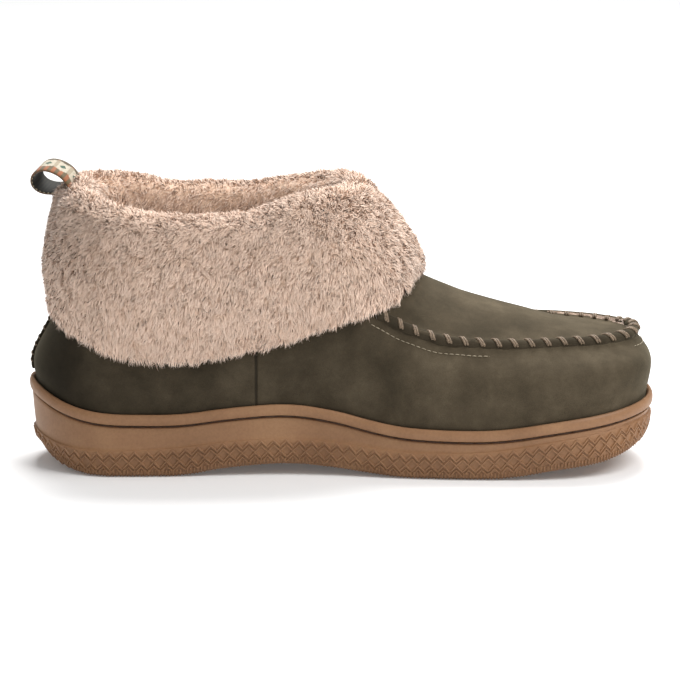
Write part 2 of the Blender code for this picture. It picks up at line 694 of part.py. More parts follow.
def cuff_column(top, hem, side, index, faces):
    """A section through the cuff: inner leg, over the collar edge, and the outer leg down to its hem."""
    outer_face, inner_face = faces
    start, end = surface(top, side, 2.0), surface(hem, side, reading(HEM_ROWS, "level", hem))
    length = (end - start).length
    pile = CUFF_PILE * reading(HEM_ROWS, "fullness", hem)

    def over(share, proud):
        point = outer_face.find_nearest(start.lerp(end, share))[0]
        return point + pile_way(point) * (cuff_gap(point) + proud)

    def under(depth, proud):
        point = inner_face.find_nearest(start.lerp(end, depth / length))[0]
        return point - pile_way(point) * (cuff_gap(point) + proud)

    edge = (over(0.0, 0) + under(0.0, 0)) / 2
    crest_name = "crest_medial" if side == MEDIAL else "crest_lateral"
    crest = CUFF_CREST * reading(HEM_ROWS, crest_name, hem)
    tip = LOCK_LENGTH * (0.55 + 0.45 * lock(index, 9)) * (1 if index % 2 == 0 else -0.2)
    downward = (over(1.0, 0) - over(0.93, 0)).normalized()

    raised = UP * CUFF_CLEARANCE
    points = [under(CUFF_INSIDE_DEPTH * share, 0) for share in (1.0, 0.66, 0.33)]
    points.append(under(0.0, 0) + raised)
    points += [edge + raised * 1.3, over(0.0, 0) + raised]
    points += [over(share, 0) for share in (0.14, 0.30, 0.46, 0.62, 0.80, 0.97)]
    points.append(over(1.0, pile * 0.12) + downward * tip)
    for row, (share, depth) in enumerate(PILE_ROWS):
        relief = LOCK_RELIEF * lock(index, row) * (1 if (index + row) % 2 == 0 else -1)
        points.append(over(share, pile * depth + relief))
    ahead = over(0.0, pile * 0.76) + UP * crest * 0.55
    behind = under(0.0, CUFF_INSIDE_PILE * 0.72) + UP * crest * 0.62
    points.append(ahead + UP * LOCK_RELIEF * 0.5 * lock(index, 7))
    points.append(edge + UP * (crest + LOCK_RELIEF * 0.4 * lock(index, 8)))
    points.append(behind)
    inside = ((0.12, 0.98), (0.45, 1.0), (0.8, 0.95), (1.0, 0.6))
    points += [under(CUFF_INSIDE_DEPTH * share, CUFF_INSIDE_PILE * depth) for share, depth in inside]
    return points


def build_cuff(parent):
    """The fleece band: sewn inside the collar, folded over its edge, and hanging in locks outside."""
    mesh = bmesh.new()
    places = {}
    for side in (MEDIAL, LATERAL):
        tops = evenly(lambda place, s=side: surface(place, s, 2.0), THROAT, CUFF_LOCKS)
        hems = evenly(
            lambda place, s=side: surface(place, s, reading(HEM_ROWS, "level", place)),
            HEM_ROWS[-1].along,
            CUFF_LOCKS,
        )
        places[side] = list(zip(tops, hems))
    round_it = [(i, MEDIAL) for i in range(CUFF_LOCKS + 1)]
    round_it += [(i, LATERAL) for i in range(CUFF_LOCKS - 1, 0, -1)]
    faces = face_tree(upper_outside), face_tree(upper_inside)
    columns = [cuff_column(*places[side][i], side, k, faces) for k, (i, side) in enumerate(round_it)]
    rings = [add_ring(mesh, points) for points in zip(*columns)]
    for below, above in zip(rings, [*rings[1:], rings[0]]):
        join_rings(mesh, above, below)
    return add_object("cuff", mesh, material("sand_fleece", (0.60, 0.45, 0.35), 0.95, 0.6), parent, 180)


def loop_path():
    """The tape's middle line, seen from the side: up out of the cuff, round an oval behind it and in again."""
    edge = surface(0.0, MEDIAL, 2.0)
    return [
        edge + Vector((across * LOOP_LENGTH, 0, up * LOOP_HEIGHT)) for across, up in LOOP_SHAPE
    ]


def tape(path, width, thickness):
    """A flat tape along a path in the upright plane down the middle of the foot."""
    mesh = bmesh.new()
    rings = []
    for i, point in enumerate(path):
        ahead = path[min(i + 1, len(path) - 1)] - path[max(i - 1, 0)]
        normal = Vector((-ahead.z, 0, ahead.x)).normalized() * (thickness / 2)
        half = Vector((0, width / 2, 0))
        rings.append(add_ring(mesh, [point + normal - half, point + normal + half,
                                     point - normal + half, point - normal - half]))
    for below, above in zip(rings, rings[1:]):
        join_rings(mesh, below, above)
    mesh.faces.new(rings[0])
    mesh.faces.new(rings[-1])
    pivot = (path[0] + path[-1]) / 2
    turned = Matrix.Rotation(LOOP_TURN, 4, "Z") @ Matrix.Rotation(LOOP_LEAN, 4, "X")
    about_root = Matrix.Translation(pivot) @ turned @ Matrix.Translation(-pivot)
    bmesh.ops.transform(mesh, matrix=about_root, verts=mesh.verts)
    return mesh


def build_pull_loop(parent, cuff):
    """A woven tape sewn into the back of the collar, with a slot in the fleece round both of its ends."""
    path = loop_path()
    made = add_object(
        "pull_loop",
        tape(path, LOOP_TAPE_WIDTH, LOOP_TAPE_THICKNESS),
        material("woven_tape", (0.16, 0.13, 0.08), 0.8),
        parent,
    )
    grown = 2 * LOOP_SLOT_CLEARANCE
    slot = add_object(
        "loop_slot",
        tape(path, LOOP_TAPE_WIDTH + grown, LOOP_TAPE_THICKNESS + grown),
        material("slot", (1, 0, 0), 1),
        parent,
    )
    slot.hide_render = True
    slot.display_type = "WIRE"
    cut = cuff.modifiers.new("loop_slot", "BOOLEAN")
    cut.operation = "DIFFERENCE"
    cut.object = slot
    return made


def centre_on_floor(slipper, pieces):
    """Moves the slipper so that the middle of its box is over the origin and its sole is on the floor."""
    bpy.context.view_layer.update()
    graph = bpy.context.evaluated_depsgraph_get()
    corners = []
    for piece in pieces:
        mesh = piece.evaluated_get(graph).to_mesh()
        corners += [piece.matrix_world @ v.co for v in mesh.vertices]
        piece.evaluated_get(graph).to_mesh_clear()
    low = [min(c[i] for c in corners) for i in range(3)]
    high = [max(c[i] for c in corners) for i in range(3)]
    slipper.location = (-(low[0] + high[0]) / 2, -(low[1] + high[1]) / 2, -low[2])
    bpy.context.view_layer.update()


def main():
    for old in list(bpy.data.objects):
        bpy.data.objects.remove(old)
    slipper = bpy.data.objects.new("slipper", None)
    bpy.context.scene.collection.objects.link(slipper)
    cuff = build_cuff(slipper)
    pieces = [
        build_outsole(slipper),
        build_insole(slipper),
        build_upper(slipper),
        cuff,
        build_pull_loop(slipper, cuff),
    ]
    centre_on_floor(slipper, pieces)


main()
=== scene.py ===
"""The looks of a house slipper for a left foot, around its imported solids.

Metres, +Z up, toe towards +X, the inner (big toe) side of the foot towards -Y. Colours inside
screen() are given as they look on a screen, from 0 to 255, and lengths as millimetres times MM.
"""

import math
from collections import namedtuple
from functools import partial

import bpy
import numpy as np
from mathutils import Matrix, Vector, noise
from mathutils.bvhtree import BVHTree
from mathutils.kdtree import KDTree


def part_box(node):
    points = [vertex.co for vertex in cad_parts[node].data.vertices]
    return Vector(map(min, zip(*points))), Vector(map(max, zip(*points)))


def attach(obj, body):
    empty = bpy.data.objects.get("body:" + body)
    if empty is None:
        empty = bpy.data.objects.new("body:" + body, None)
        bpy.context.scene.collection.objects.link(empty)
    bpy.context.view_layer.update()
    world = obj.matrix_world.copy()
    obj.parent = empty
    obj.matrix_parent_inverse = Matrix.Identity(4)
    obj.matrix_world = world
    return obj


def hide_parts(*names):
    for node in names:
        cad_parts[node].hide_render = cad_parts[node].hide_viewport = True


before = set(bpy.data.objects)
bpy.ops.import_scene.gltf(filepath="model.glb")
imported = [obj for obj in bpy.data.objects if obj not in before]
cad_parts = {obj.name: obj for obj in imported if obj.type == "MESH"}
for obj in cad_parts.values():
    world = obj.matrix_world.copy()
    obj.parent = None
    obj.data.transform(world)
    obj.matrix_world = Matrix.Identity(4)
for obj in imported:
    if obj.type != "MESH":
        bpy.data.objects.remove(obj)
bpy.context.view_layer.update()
MM = 0.001

# The view: a long lens a little above the slipper, square on to its inner side and turned slightly to the
# heel, over a white floor.
VIEW_AZIMUTH = math.radians(-1.5)
VIEW_ELEVATION = math.radians(11.5)
VIEW_DISTANCE = 2.3
VIEW_FOCUS = Vector((0, 0, 0.065))
LENS_MM = 281.8
SENSOR_MM = 36
FRAME_SHIFT = (-0.0009, -0.0451)

back = Vector(
    (
        math.sin(VIEW_AZIMUTH) * math.cos(VIEW_ELEVATION),
        -math.cos(VIEW_AZIMUTH) * math.cos(VIEW_ELEVATION),
        math.sin(VIEW_ELEVATION),
    )
)
camera_data = bpy.data.cameras.new("photo_view")
camera_data.lens = LENS_MM
camera_data.sensor_width = SENSOR_MM
camera_data.shift_x, camera_data.shift_y = FRAME_SHIFT
camera_data.clip_end = 20
camera = bpy.data.objects.new("photo_view", camera_data)
camera.location = VIEW_FOCUS + back * VIEW_DISTANCE
camera.rotation_euler = (-back).to_track_quat("-Z", "Y").to_euler()
bpy.context.scene.collection.objects.link(camera)
bpy.context.scene.camera = camera
bpy.context.scene.view_settings.view_transform = "Standard"


def screen(red, green, blue):
    """A colour as it looks on a screen, as the shader takes it."""
    shares = (red / 255, green / 255, blue / 255)
    return tuple(((c + 0.055) / 1.055) ** 2.4 if c > 0.04045 else c / 12.92 for c in shares)


def finish_of(name, colour, roughness, **values):
    """A material with one Principled shader, and its node tree."""
    made = bpy.data.materials.new(name)
    made.use_nodes = True
    shader = made.node_tree.nodes["Principled BSDF"]
    shader.inputs["Base Color"].default_value = (*colour, 1)
    shader.inputs["Roughness"].default_value = roughness
    for socket, value in values.items():
        shader.inputs[socket.replace("_", " ")].default_value = value
    made.diffuse_color = (*colour, 1)
    return made


# Floor and light: a white sweep, a large soft lamp over the toe, a weaker one at the front and a rim lamp
# behind, so that the heel falls into shade.
FLOOR_SIZE = 12
FLOOR_WHITE = (0.86, 0.86, 0.86)
FLOOR_GLOW = 0.08
ROOM_LIGHT = 0.36
SEEN_ROOM = 1.05

bpy.ops.object.select_all(action="DESELECT")
bpy.ops.mesh.primitive_plane_add(size=FLOOR_SIZE, location=(0, 0, 0))
floor = bpy.context.object
floor.name = "white_floor"
floor.data.materials.append(
    finish_of("white_floor", FLOOR_WHITE, 0.9, Emission_Color=(1, 1, 1, 1), Emission_Strength=FLOOR_GLOW)
)

Lamp = namedtuple("Lamp", "name place size watts")
LAMPS = [
    Lamp("key_over_toe", (0.80, -0.55, 1.20), 0.9, 18),
    Lamp("front_fill", (0.4, -1.6, 0.6), 1.2, 2.5),
    Lamp("top_back", (0.10, 0.65, 1.3), 0.8, 27),
]
for lamp in LAMPS:
    light = bpy.data.lights.new(lamp.name, "AREA")
    light.size = lamp.size
    light.energy = lamp.watts
    placed = bpy.data.objects.new(lamp.name, light)
    placed.location = lamp.place
    placed.rotation_euler = (Vector(lamp.place) - VIEW_FOCUS).to_track_quat("Z", "Y").to_euler()
    bpy.context.scene.collection.objects.link(placed)

sky = bpy.data.worlds.new("white_room")
sky.use_nodes = True
sky_nodes, sky_links = sky.node_tree.nodes, sky.node_tree.links
seen_sky = sky_nodes.new("ShaderNodeBackground")
for shade, strength in ((sky_nodes["Background"], ROOM_LIGHT), (seen_sky, SEEN_ROOM)):
    shade.inputs["Strength"].default_value = strength
    shade.inputs["Color"].default_value = (1, 1, 1, 1)
by_ray = sky_nodes.new("ShaderNodeMixShader")
ray = sky_nodes.new("ShaderNodeLightPath")
sky_links.new(ray.outputs["Is Camera Ray"], by_ray.inputs[0])
sky_links.new(sky_nodes["Background"].outputs[0], by_ray.inputs[1])
sky_links.new(seen_sky.outputs[0], by_ray.inputs[2])
sky_links.new(by_ray.outputs[0], sky_nodes["World Output"].inputs[0])
bpy.context.scene.world = sky


# Moulded outsole: one cup of tan rubber with a round bead at its rim, a sewn groove under the bead, a smooth
# band, and below it a band embossed with diamonds and a ribbed edge. The stitches hold it to the upper.
BAND_PITCH = 5.4 * MM
DIAMOND_HALF = 2.7 * MM
CHEVRON_GAP = 1.8 * MM
EMBOSS_WIDTH = 1.1 * MM
EMBOSS_HEIGHT = 0.7 * MM
BAND_DROP = 0.7 * MM
STEPS_A_DIAMOND = 6
RIB_PITCH = 1.5 * MM
RIB_HEIGHT = 0.6 * MM
RIB_LEVELS = (0.9 * MM, 2.2 * MM, 3.4 * MM)
GROOVE_STITCH_PITCH = 7.0 * MM
GROOVE_STITCH_LENGTH = 6.2 * MM
GROOVE_THREAD = 0.5 * MM
SOLE_LENGTH = 270 * MM
BALL_WIDTH = 101 * MM
RIM_HEIGHT = 38 * MM
HEEL_ROUND = 38 * MM
TOE_ROUND = 56 * MM
GROOVE_DROP = 5.7 * MM
HEEL_AT = Vector((-135, -0.84, 0)) * MM
TREAD_TOP = 14 * MM
FLEX_GROOVE_DEPTH = 2.5 * MM
FLEX_GROOVE_HALF = 42 * MM


def tree_of(node):
    """A node's surface, for finding its nearest points."""
    spots = [vertex.co.copy() for vertex in node.data.vertices]
    return BVHTree.FromPolygons(spots, [tuple(face.vertices) for face in node.data.polygons])


def merged_copy(node, name):
    """A closed copy of a node's loose triangles, with quads where they pair up."""
    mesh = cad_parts[node].data.copy()
    made = bpy.data.objects.new(name, mesh)
    bpy.context.scene.collection.objects.link(made)
    mesh.materials.clear()
    bpy.ops.object.select_all(action="DESELECT")
    made.select_set(True)
    bpy.context.view_layer.objects.active = made
    if mesh.has_custom_normals:
        bpy.ops.mesh.customdata_custom_splitnormals_clear()
    bpy.ops.object.mode_set(mode="EDIT")
    bpy.ops.mesh.select_all(action="SELECT")
    bpy.ops.mesh.remove_doubles(threshold=0.01 * MM)
    bpy.ops.mesh.tris_convert_to_quads(face_threshold=math.radians(60), shape_threshold=math.radians(60))
    bpy.ops.object.mode_set(mode="OBJECT")
    return made


def rounded(piece, levels):
    """The piece with its faces subdivided and shaded smooth."""
    bpy.ops.object.select_all(action="DESELECT")
    piece.select_set(True)
    bpy.context.view_layer.objects.active = piece
    smooth = piece.modifiers.new("smooth", "SUBSURF")
    smooth.levels = levels
    smooth.render_levels = levels
    bpy.ops.object.modifier_apply(modifier="smooth")
    piece.data.shade_smooth()
    return piece


def piece_of(name, points, faces, finish):
    """A piece made of points and faces, smooth, facing out, riding on the slipper."""
    mesh = bpy.data.meshes.new(name)
    mesh.from_pydata([tuple(p) for p in points], [], faces)
    made = bpy.data.objects.new(name, mesh)
    bpy.context.scene.collection.objects.link(made)
    bpy.ops.object.select_all(action="DESELECT")
    made.select_set(True)
    bpy.context.view_layer.objects.active = made
    bpy.ops.object.mode_set(mode="EDIT")
    bpy.ops.mesh.select_all(action="SELECT")
    bpy.ops.mesh.normals_make_consistent(inside=False)
    bpy.ops.object.mode_set(mode="OBJECT")
    mesh.shade_smooth()
    mesh.materials.append(finish)
    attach(made, "root")
    return made


def add_tube(points, faces, line, radii, ups, sides=7):
    """Adds a closed tube along a line, with a radius and an up direction at each point."""
    start, count = len(points), len(line)
    for i, point in enumerate(line):
        ahead = (line[min(i + 1, count - 1)] - line[max(i - 1, 0)]).normalized()
        across = ahead.cross(ups[i]).normalized()
        up = across.cross(ahead).normalized()
        for k in range(sides):
            angle = 2 * math.pi * k / sides
            points.append(point + radii[i] * (across * math.cos(angle) + up * math.sin(angle)))
    for i in range(count - 1):
        for k in range(sides):
            a, b = start + i * sides + k, start + i * sides + (k + 1) % sides
            faces.append((a, b, b + sides, a + sides))
    faces.append(tuple(start + k for k in range(sides)))
    faces.append(tuple(start + (count - 1) * sides + k for k in range(sides)))


def node_in(tree, kind, **settings):
    """A shader node, with its settings and the values of its sockets."""
    made = tree.nodes.new(kind)
    for name, value in settings.items():
        if hasattr(made, name):
            setattr(made, name, value)
        else:
            made.inputs[name].default_value = value
    return made


def noise_in(tree, scale, detail=4.0, roughness=0.55, stretch=(1, 1, 1)):
    """Noise in the object's own space, with scale in cells a metre."""
    place = node_in(tree, "ShaderNodeTexCoord")
    mapping = node_in(tree, "ShaderNodeMapping")
    mapping.inputs["Scale"].default_value = stretch
    made = node_in(tree, "ShaderNodeTexNoise", Scale=scale, Detail=detail, Roughness=roughness)
    tree.links.new(place.outputs["Object"], mapping.inputs["Vector"])
    tree.links.new(mapping.outputs[0], made.inputs["Vector"])
    return made.outputs["Fac"]


def ramp_in(tree, value, *stops):
    """A colour ramp of (place, colour) stops."""
    made = node_in(tree, "ShaderNodeValToRGB")
    while len(made.color_ramp.elements) < len(stops):
        made.color_ramp.elements.new(0.5)
    for element, (place, colour) in zip(made.color_ramp.elements, stops):
        element.position = place
        element.color = (*colour, 1)
    tree.links.new(value, made.inputs[0])
    return made.outputs["Color"]


def mixed_in(tree, kind, share, first, second):
    """Two colours mixed, by a number or a node's output."""
    made = node_in(tree, "ShaderNodeMix", data_type="RGBA", blend_type=kind)
    for socket, value in ((made.inputs[0], share), (made.inputs[6], first), (made.inputs[7], second)):
        if isinstance(value, (int, float)):
            socket.default_value = value
        elif isinstance(value, tuple):
            socket.default_value = (*value, 1)
        else:
            tree.links.new(value, socket)
    return made.outputs[2]


def bump_in(tree, height, strength, distance, below=None):
    """Relief from a height, laid over the relief below it."""
    made = node_in(tree, "ShaderNodeBump", Strength=strength, Distance=distance)
    tree.links.new(height, made.inputs["Height"])
    if below is not None:
        tree.links.new(below, made.inputs["Normal"])
    return made.outputs[0]


def shader_in(made):
    """A material's node tree and its shader."""
    return made.node_tree, made.node_tree.nodes["Principled BSDF"]


tan_rubber = finish_of("tan_rubber", screen(141, 105, 74), 0.48, Specular_IOR_Level=0.35)
tree, shader = shader_in(tan_rubber)
cloudy = noise_in(tree, 45, 5)
speckled = noise_in(tree, 900, 3)
rubber_colour = ramp_in(
    tree, cloudy, (0.3, screen(133, 97, 67)), (0.52, screen(142, 105, 74)), (0.75, screen(152, 115, 82))
)
rubber_colour = mixed_in(
    tree, "MULTIPLY", 0.35, rubber_colour,
    ramp_in(tree, speckled, (0.35, (0.72, 0.70, 0.68)), (0.6, (1, 1, 1))),
)
# Painted shade: darkens the floor of the sewn groove strongly and the embossed band a little
painted_recess_shade = node_in(tree, "ShaderNodeAttribute", attribute_name="painted_recess_shade")
recess_shade_colour = ramp_in(
    tree, painted_recess_shade.outputs["Fac"], (0.0, (1, 1, 1)), (0.35, (0.96, 0.94, 0.92)), (1.0, (0.24, 0.20, 0.17))
)
rubber_colour = mixed_in(tree, "MULTIPLY", 1.0, rubber_colour, recess_shade_colour)
tree.links.new(rubber_colour, shader.inputs["Base Color"])
tree.links.new(bump_in(tree, noise_in(tree, 2200, 2), 0.25, 0.05 * MM), shader.inputs["Normal"])
rubber_rough = node_in(tree, "ShaderNodeMapRange")
tree.links.new(cloudy, rubber_rough.inputs["Value"])
rubber_rough.inputs["To Min"].default_value = 0.42
rubber_rough.inputs["To Max"].default_value = 0.60
tree.links.new(rubber_rough.outputs[0], shader.inputs["Roughness"])

# X: share of the sole's length. Centre: share of the ball width. Half: share of half the ball width. The
# ground, band and rims: shares of the rim's height at the back of the heel.
SoleRow = namedtuple("SoleRow", "x centre half ground band rim_inner rim_outer")
SOLE_ROWS = [
    SoleRow(0.00, 0.00, 0.75, 0.23, 0.42, 1.00, 1.00),
    SoleRow(0.02, 0.00, 0.75, 0.19, 0.37, 0.935, 0.935),
    SoleRow(0.05, 0.00, 0.75, 0.09, 0.32, 0.84, 0.84),
    SoleRow(0.09, 0.00, 0.75, 0.010, 0.30, 0.765, 0.765),
    SoleRow(0.14, 0.00, 0.75, 0.00, 0.30, 0.728, 0.728),
    SoleRow(0.23, 0.00, 0.75, 0.00, 0.325, 0.722, 0.72),
    SoleRow(0.32, 0.01, 0.745, 0.085, 0.395, 0.79, 0.76),
    SoleRow(0.41, 0.02, 0.75, 0.125, 0.425, 0.83, 0.775),
    SoleRow(0.48, 0.03, 0.80, 0.090, 0.395, 0.765, 0.73),
    SoleRow(0.55, 0.035, 0.88, 0.030, 0.335, 0.65, 0.64),
    SoleRow(0.60, 0.035, 0.94, 0.00, 0.30, 0.59, 0.59),
    SoleRow(0.70, 0.03, 1.00, 0.00, 0.305, 0.57, 0.57),
    SoleRow(0.74, 0.025, 1.005, 0.005, 0.33, 0.58, 0.58),
    SoleRow(0.84, 0.005, 0.985, 0.105, 0.445, 0.677, 0.677),
    SoleRow(0.91, -0.02, 0.94, 0.165, 0.515, 0.735, 0.735),
    SoleRow(0.96, -0.045, 0.89, 0.26, 0.57, 0.79, 0.79),
    SoleRow(1.00, -0.065, 0.85, 0.37, 0.61, 0.845, 0.845),
]


def sole_reading(column, place):
    """One column of the sole's table, read smoothly and without overshoot."""
    places = [row.x for row in SOLE_ROWS]
    values = [getattr(row, column) for row in SOLE_ROWS]
    first = min(max(int(np.searchsorted(places, place, "right")) - 1, 0), len(places) - 2)
    rise = np.diff(values) / np.diff(places)

    def slope(i):
        """The curve's slope at a row, 0 at a peak or a dip."""
        if i in (0, len(places) - 1):
            return rise[min(i, len(rise) - 1)]
        before, after = rise[i - 1], rise[i]
        return 0.0 if before * after <= 0 else 2 * before * after / (before + after)

    step = places[first + 1] - places[first]
    q = min(max((place - places[first]) / step, 0.0), 1.0)
    bend = values[first] + (values[first + 1] - values[first]) * q * q * (3 - 2 * q)
    return bend + step * q * (1 - q) * ((1 - q) * slope(first) - q * slope(first + 1))


def half_width(place):
    """Half the sole's width, rounded off at the heel and squarer at the toe."""
    from_heel = min(max(1 - place * SOLE_LENGTH / HEEL_ROUND, 0.0), 1.0)
    from_toe = min(max(1 - (1 - place) * SOLE_LENGTH / TOE_ROUND, 0.0), 1.0)
    rounded_off = math.sqrt(1 - from_heel**2) * (1 - from_toe**2.5) ** 0.4
    return sole_reading("half", place) * BALL_WIDTH / 2 * rounded_off


places = [(1 - math.cos(math.pi * i / 500)) / 2 for i in range(501)]
ring = [(place, -1) for place in places] + [(place, 1) for place in places[-2:0:-1]]
ring_spots = [
    HEEL_AT + Vector((p * SOLE_LENGTH, sole_reading("centre", p) * BALL_WIDTH + sign * half_width(p), 0))
    for p, sign in ring
]
ring_steps = [(ring_spots[(i + 1) % len(ring)] - spot).length for i, spot in enumerate(ring_spots)]
ring_way = np.concatenate([[0], np.cumsum(ring_steps)])
SOLE_ROUND = ring_way[-1]
ring_levels = {
    "ground": [sole_reading("ground", p) * RIM_HEIGHT for p, _ in ring],
    "band_top": [sole_reading("band", p) * RIM_HEIGHT for p, _ in ring],
    "rim": [sole_reading("rim_inner" if sign < 0 else "rim_outer", p) * RIM_HEIGHT for p, sign in ring],
}

outline_finder = KDTree(len(ring))
for i, spot in enumerate(ring_spots):
    outline_finder.insert(spot, i)
outline_finder.balance()

# The lines that stay sharp: a level of the side and the height over it. The first two edge the band, and the
# other four are the lips and the floor of the sewn groove.
SHARP_LINES = [
    ("band_top", 0.0),
    ("band_top", 0.45 * MM),
    ("rim", -6.4 * MM),
    ("rim", -5.92 * MM),
    ("rim", -5.32 * MM),
    ("rim", -5.02 * MM),
]
GROOVE_FLOOR = (3, 4)
ON_LINE = 0.2 * MM
AT_OUTLINE = 7 * MM

moulded_outsole = merged_copy("outsole", "moulded_outsole")
sharp = []
for vertex in moulded_outsole.data.vertices:
    _, i, off = outline_finder.find(Vector((vertex.co.x, vertex.co.y, 0)))
    gaps = [abs(vertex.co.z - ring_levels[level][i] - rise) for level, rise in SHARP_LINES]
    sharp.append(gaps.index(min(gaps)) if min(gaps) < ON_LINE and off < AT_OUTLINE else -1)
flat_edges = set()
for face in moulded_outsole.data.polygons:
    under = face.normal.z < -0.6 and face.center.z < TREAD_TOP
    low = face.center.z < FLEX_GROOVE_DEPTH and abs(face.center.y) < FLEX_GROOVE_HALF
    if under or (low and abs(face.normal.x) > 0.9):
        flat_edges.update(face.edge_keys)
# Painted shade for the rubber: 1 on the floor of the sewn groove, 0.35 in the embossed band, 0 elsewhere
recess_shade_layer = moulded_outsole.data.attributes.new("painted_recess_shade", "FLOAT", "POINT")
for vertex, line in zip(moulded_outsole.data.vertices, sharp):
    _, i, _ = outline_finder.find(Vector((vertex.co.x, vertex.co.y, 0)))
    in_band = vertex.co.z < ring_levels["band_top"][i] + ON_LINE
    recess_shade_layer.data[vertex.index].value = 1.0 if line in GROOVE_FLOOR else 0.35 if in_band else 0.0
crease = moulded_outsole.data.attributes.new("crease_edge", "FLOAT", "EDGE")
for i, edge in enumerate(moulded_outsole.data.edges):
    first, second = edge.vertices
    if tuple(sorted(edge.vertices)) in flat_edges:
        crease.data[i].value = 1.0
    elif sharp[first] >= 0 and sharp[first] == sharp[second]:
        crease.data[i].value = 0.9
rounded(moulded_outsole, 2)
moulded_outsole.data.materials.append(tan_rubber)
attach(moulded_outsole, "root")
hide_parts("outsole")
sole_tree = tree_of(moulded_outsole)
SIDE_REACH = 30 * MM


def on_sole(way, level, rise):
    """A point of the sole's side and its normal: its way round the outline, and its height over a level."""
    index = np.interp(way % SOLE_ROUND, ring_way, np.arange(len(ring) + 1))
    low = int(index) % len(ring)
    high = (low + 1) % len(ring)
    spot = ring_spots[low].lerp(ring_spots[high], index - int(index))
    ahead = (ring_spots[(high + 1) % len(ring)] - ring_spots[low - 1]).normalized()
    outward = Vector((ahead.y, -ahead.x, 0))
    heights = ring_levels[level]
    height = heights[low] + (heights[high] - heights[low]) * (index - int(index)) + rise
    start = spot + outward * SIDE_REACH + Vector((0, 0, height))
    point, normal, _, _ = sole_tree.ray_cast(start, -outward)
    if point is None:
        return spot + Vector((0, 0, height)), outward
    return point, normal


def add_emboss(points, faces, line, normals, width, height, closed):
    """Adds a raised line with a flat top and sloping sides, which follows the surface."""
    start, count = len(points), len(line)
    for i, point in enumerate(line):
        before = line[i - 1] if closed or i else point
        after = line[(i + 1) % count] if closed or i < count - 1 else point
        across = (after - before).cross(normals[i]).normalized() * (width / 2)
        foot, crown = point - normals[i] * (height * 0.5), point + normals[i] * height
        points += [foot - across, crown - across * 0.4, crown + across * 0.4, foot + across]
    for i in range(count if closed else count - 1):
        j = (i + 1) % count
        for k in range(4):
            a, b = start + i * 4, start + j * 4
            faces.append((a + k, a + (k + 1) % 4, b + (k + 1) % 4, b + k))
    if not closed:
        last = start + (count - 1) * 4
        faces.append((start, start + 1, start + 2, start + 3))
        faces.append((last, last + 1, last + 2, last + 3))


diamonds = round(SOLE_ROUND / BAND_PITCH)
pitch = SOLE_ROUND / diamonds
points, faces = [], []
band_middle = -(DIAMOND_HALF + CHEVRON_GAP + BAND_DROP)
for upward, offset in ((1, CHEVRON_GAP), (1, 0), (-1, 0), (-1, -CHEVRON_GAP)):
    line, normals = [], []
    for i in range(diamonds * STEPS_A_DIAMOND):
        wave = 1 - abs((i % STEPS_A_DIAMOND) * 2 / STEPS_A_DIAMOND - 1)
        rise = band_middle + upward * DIAMOND_HALF * wave + offset
        point, normal = on_sole(i * pitch / STEPS_A_DIAMOND, "band_top", rise)
        line.append(point)
        normals.append(normal)
    add_emboss(points, faces, line, normals, EMBOSS_WIDTH, EMBOSS_HEIGHT, True)
diamond_band = piece_of("diamond_band", points, faces, tan_rubber)
diamond_band.data.shade_flat()

ribs = round(SOLE_ROUND / RIB_PITCH)
points, faces = [], []
for i in range(ribs):
    line, normals = zip(*[on_sole(i * SOLE_ROUND / ribs, "ground", rise) for rise in RIB_LEVELS])
    add_emboss(points, faces, line, normals, RIB_PITCH * 0.66, RIB_HEIGHT, False)
piece_of("ribbed_edge", points, faces, tan_rubber)

brown_thread = finish_of("brown_thread", screen(66, 43, 28), 0.7)
# One stitch: shares of its length from its middle, and its thickness there
STITCH_SHARES = (-0.5, -0.42, -0.2, 0.0, 0.2, 0.42, 0.5)
STITCH_SWELL = (0.35, 0.8, 1, 1, 1, 0.8, 0.35)
stitches = round(SOLE_ROUND / GROOVE_STITCH_PITCH)
points, faces = [], []
for i in range(stitches):
    middle = i * SOLE_ROUND / stitches
    spots = [on_sole(middle + share * GROOVE_STITCH_LENGTH, "rim", -GROOVE_DROP) for share in STITCH_SHARES]
    line = [point + normal * (0.1 * MM) for point, normal in spots]
    radii = [GROOVE_THREAD * swell for swell in STITCH_SWELL]
    add_tube(points, faces, line, radii, [normal for _, normal in spots])
piece_of("groove_stitches", points, faces, brown_thread)


# Suede upper: one olive brown shell with a soft mottled nap and painted shade that darkens it towards the
# heel, lapped and sewn at both sides under the cuff, and lined with thin knitted fleece.
SIDE_SEAM_X = -37 * MM
NAP_DEPTH = 0.12 * MM
LINING_FROM = -80 * MM
LINING_TO = 85 * MM
LINING_MIDDLE = 32 * MM
LAP_LIP = 0.25 * MM
LAP_EDGE = 0.9 * MM
# Painted shade: where the suede's colour starts and stops darkening towards the heel
HEEL_SHADE_FROM = -130 * MM
HEEL_SHADE_TO = 60 * MM

# The main creases, in millimetres: where each soft trough starts and ends, its width and its depth
Crease = namedtuple("Crease", "start end width depth")
CREASES = [
    Crease((22, -46, 40), (44, -34, 56), 5.0, 0.9),
    Crease((34, -48, 36), (58, -40, 47), 4.5, 0.7),
    Crease((8, -44, 44), (26, -33, 62), 5.5, 0.8),
    Crease((-70, -40, 42), (-52, -37, 62), 7.0, 0.9),
    Crease((-106, -33, 40), (-92, -35, 60), 6.0, 0.8),
    Crease((72, -44, 34), (98, -38, 45), 5.5, 0.7),
    Crease((30, 6, 78), (44, 20, 68), 5.0, 0.6),
    Crease((52, -14, 64), (70, 4, 63), 6.0, 0.6),
    Crease((22, 50, 40), (44, 38, 58), 5.0, 0.9),
    Crease((8, 47, 44), (26, 36, 62), 5.5, 0.8),
    Crease((-70, 40, 42), (-52, 38, 62), 7.0, 0.9),
    Crease((72, 44, 34), (98, 38, 45), 5.5, 0.7),
]


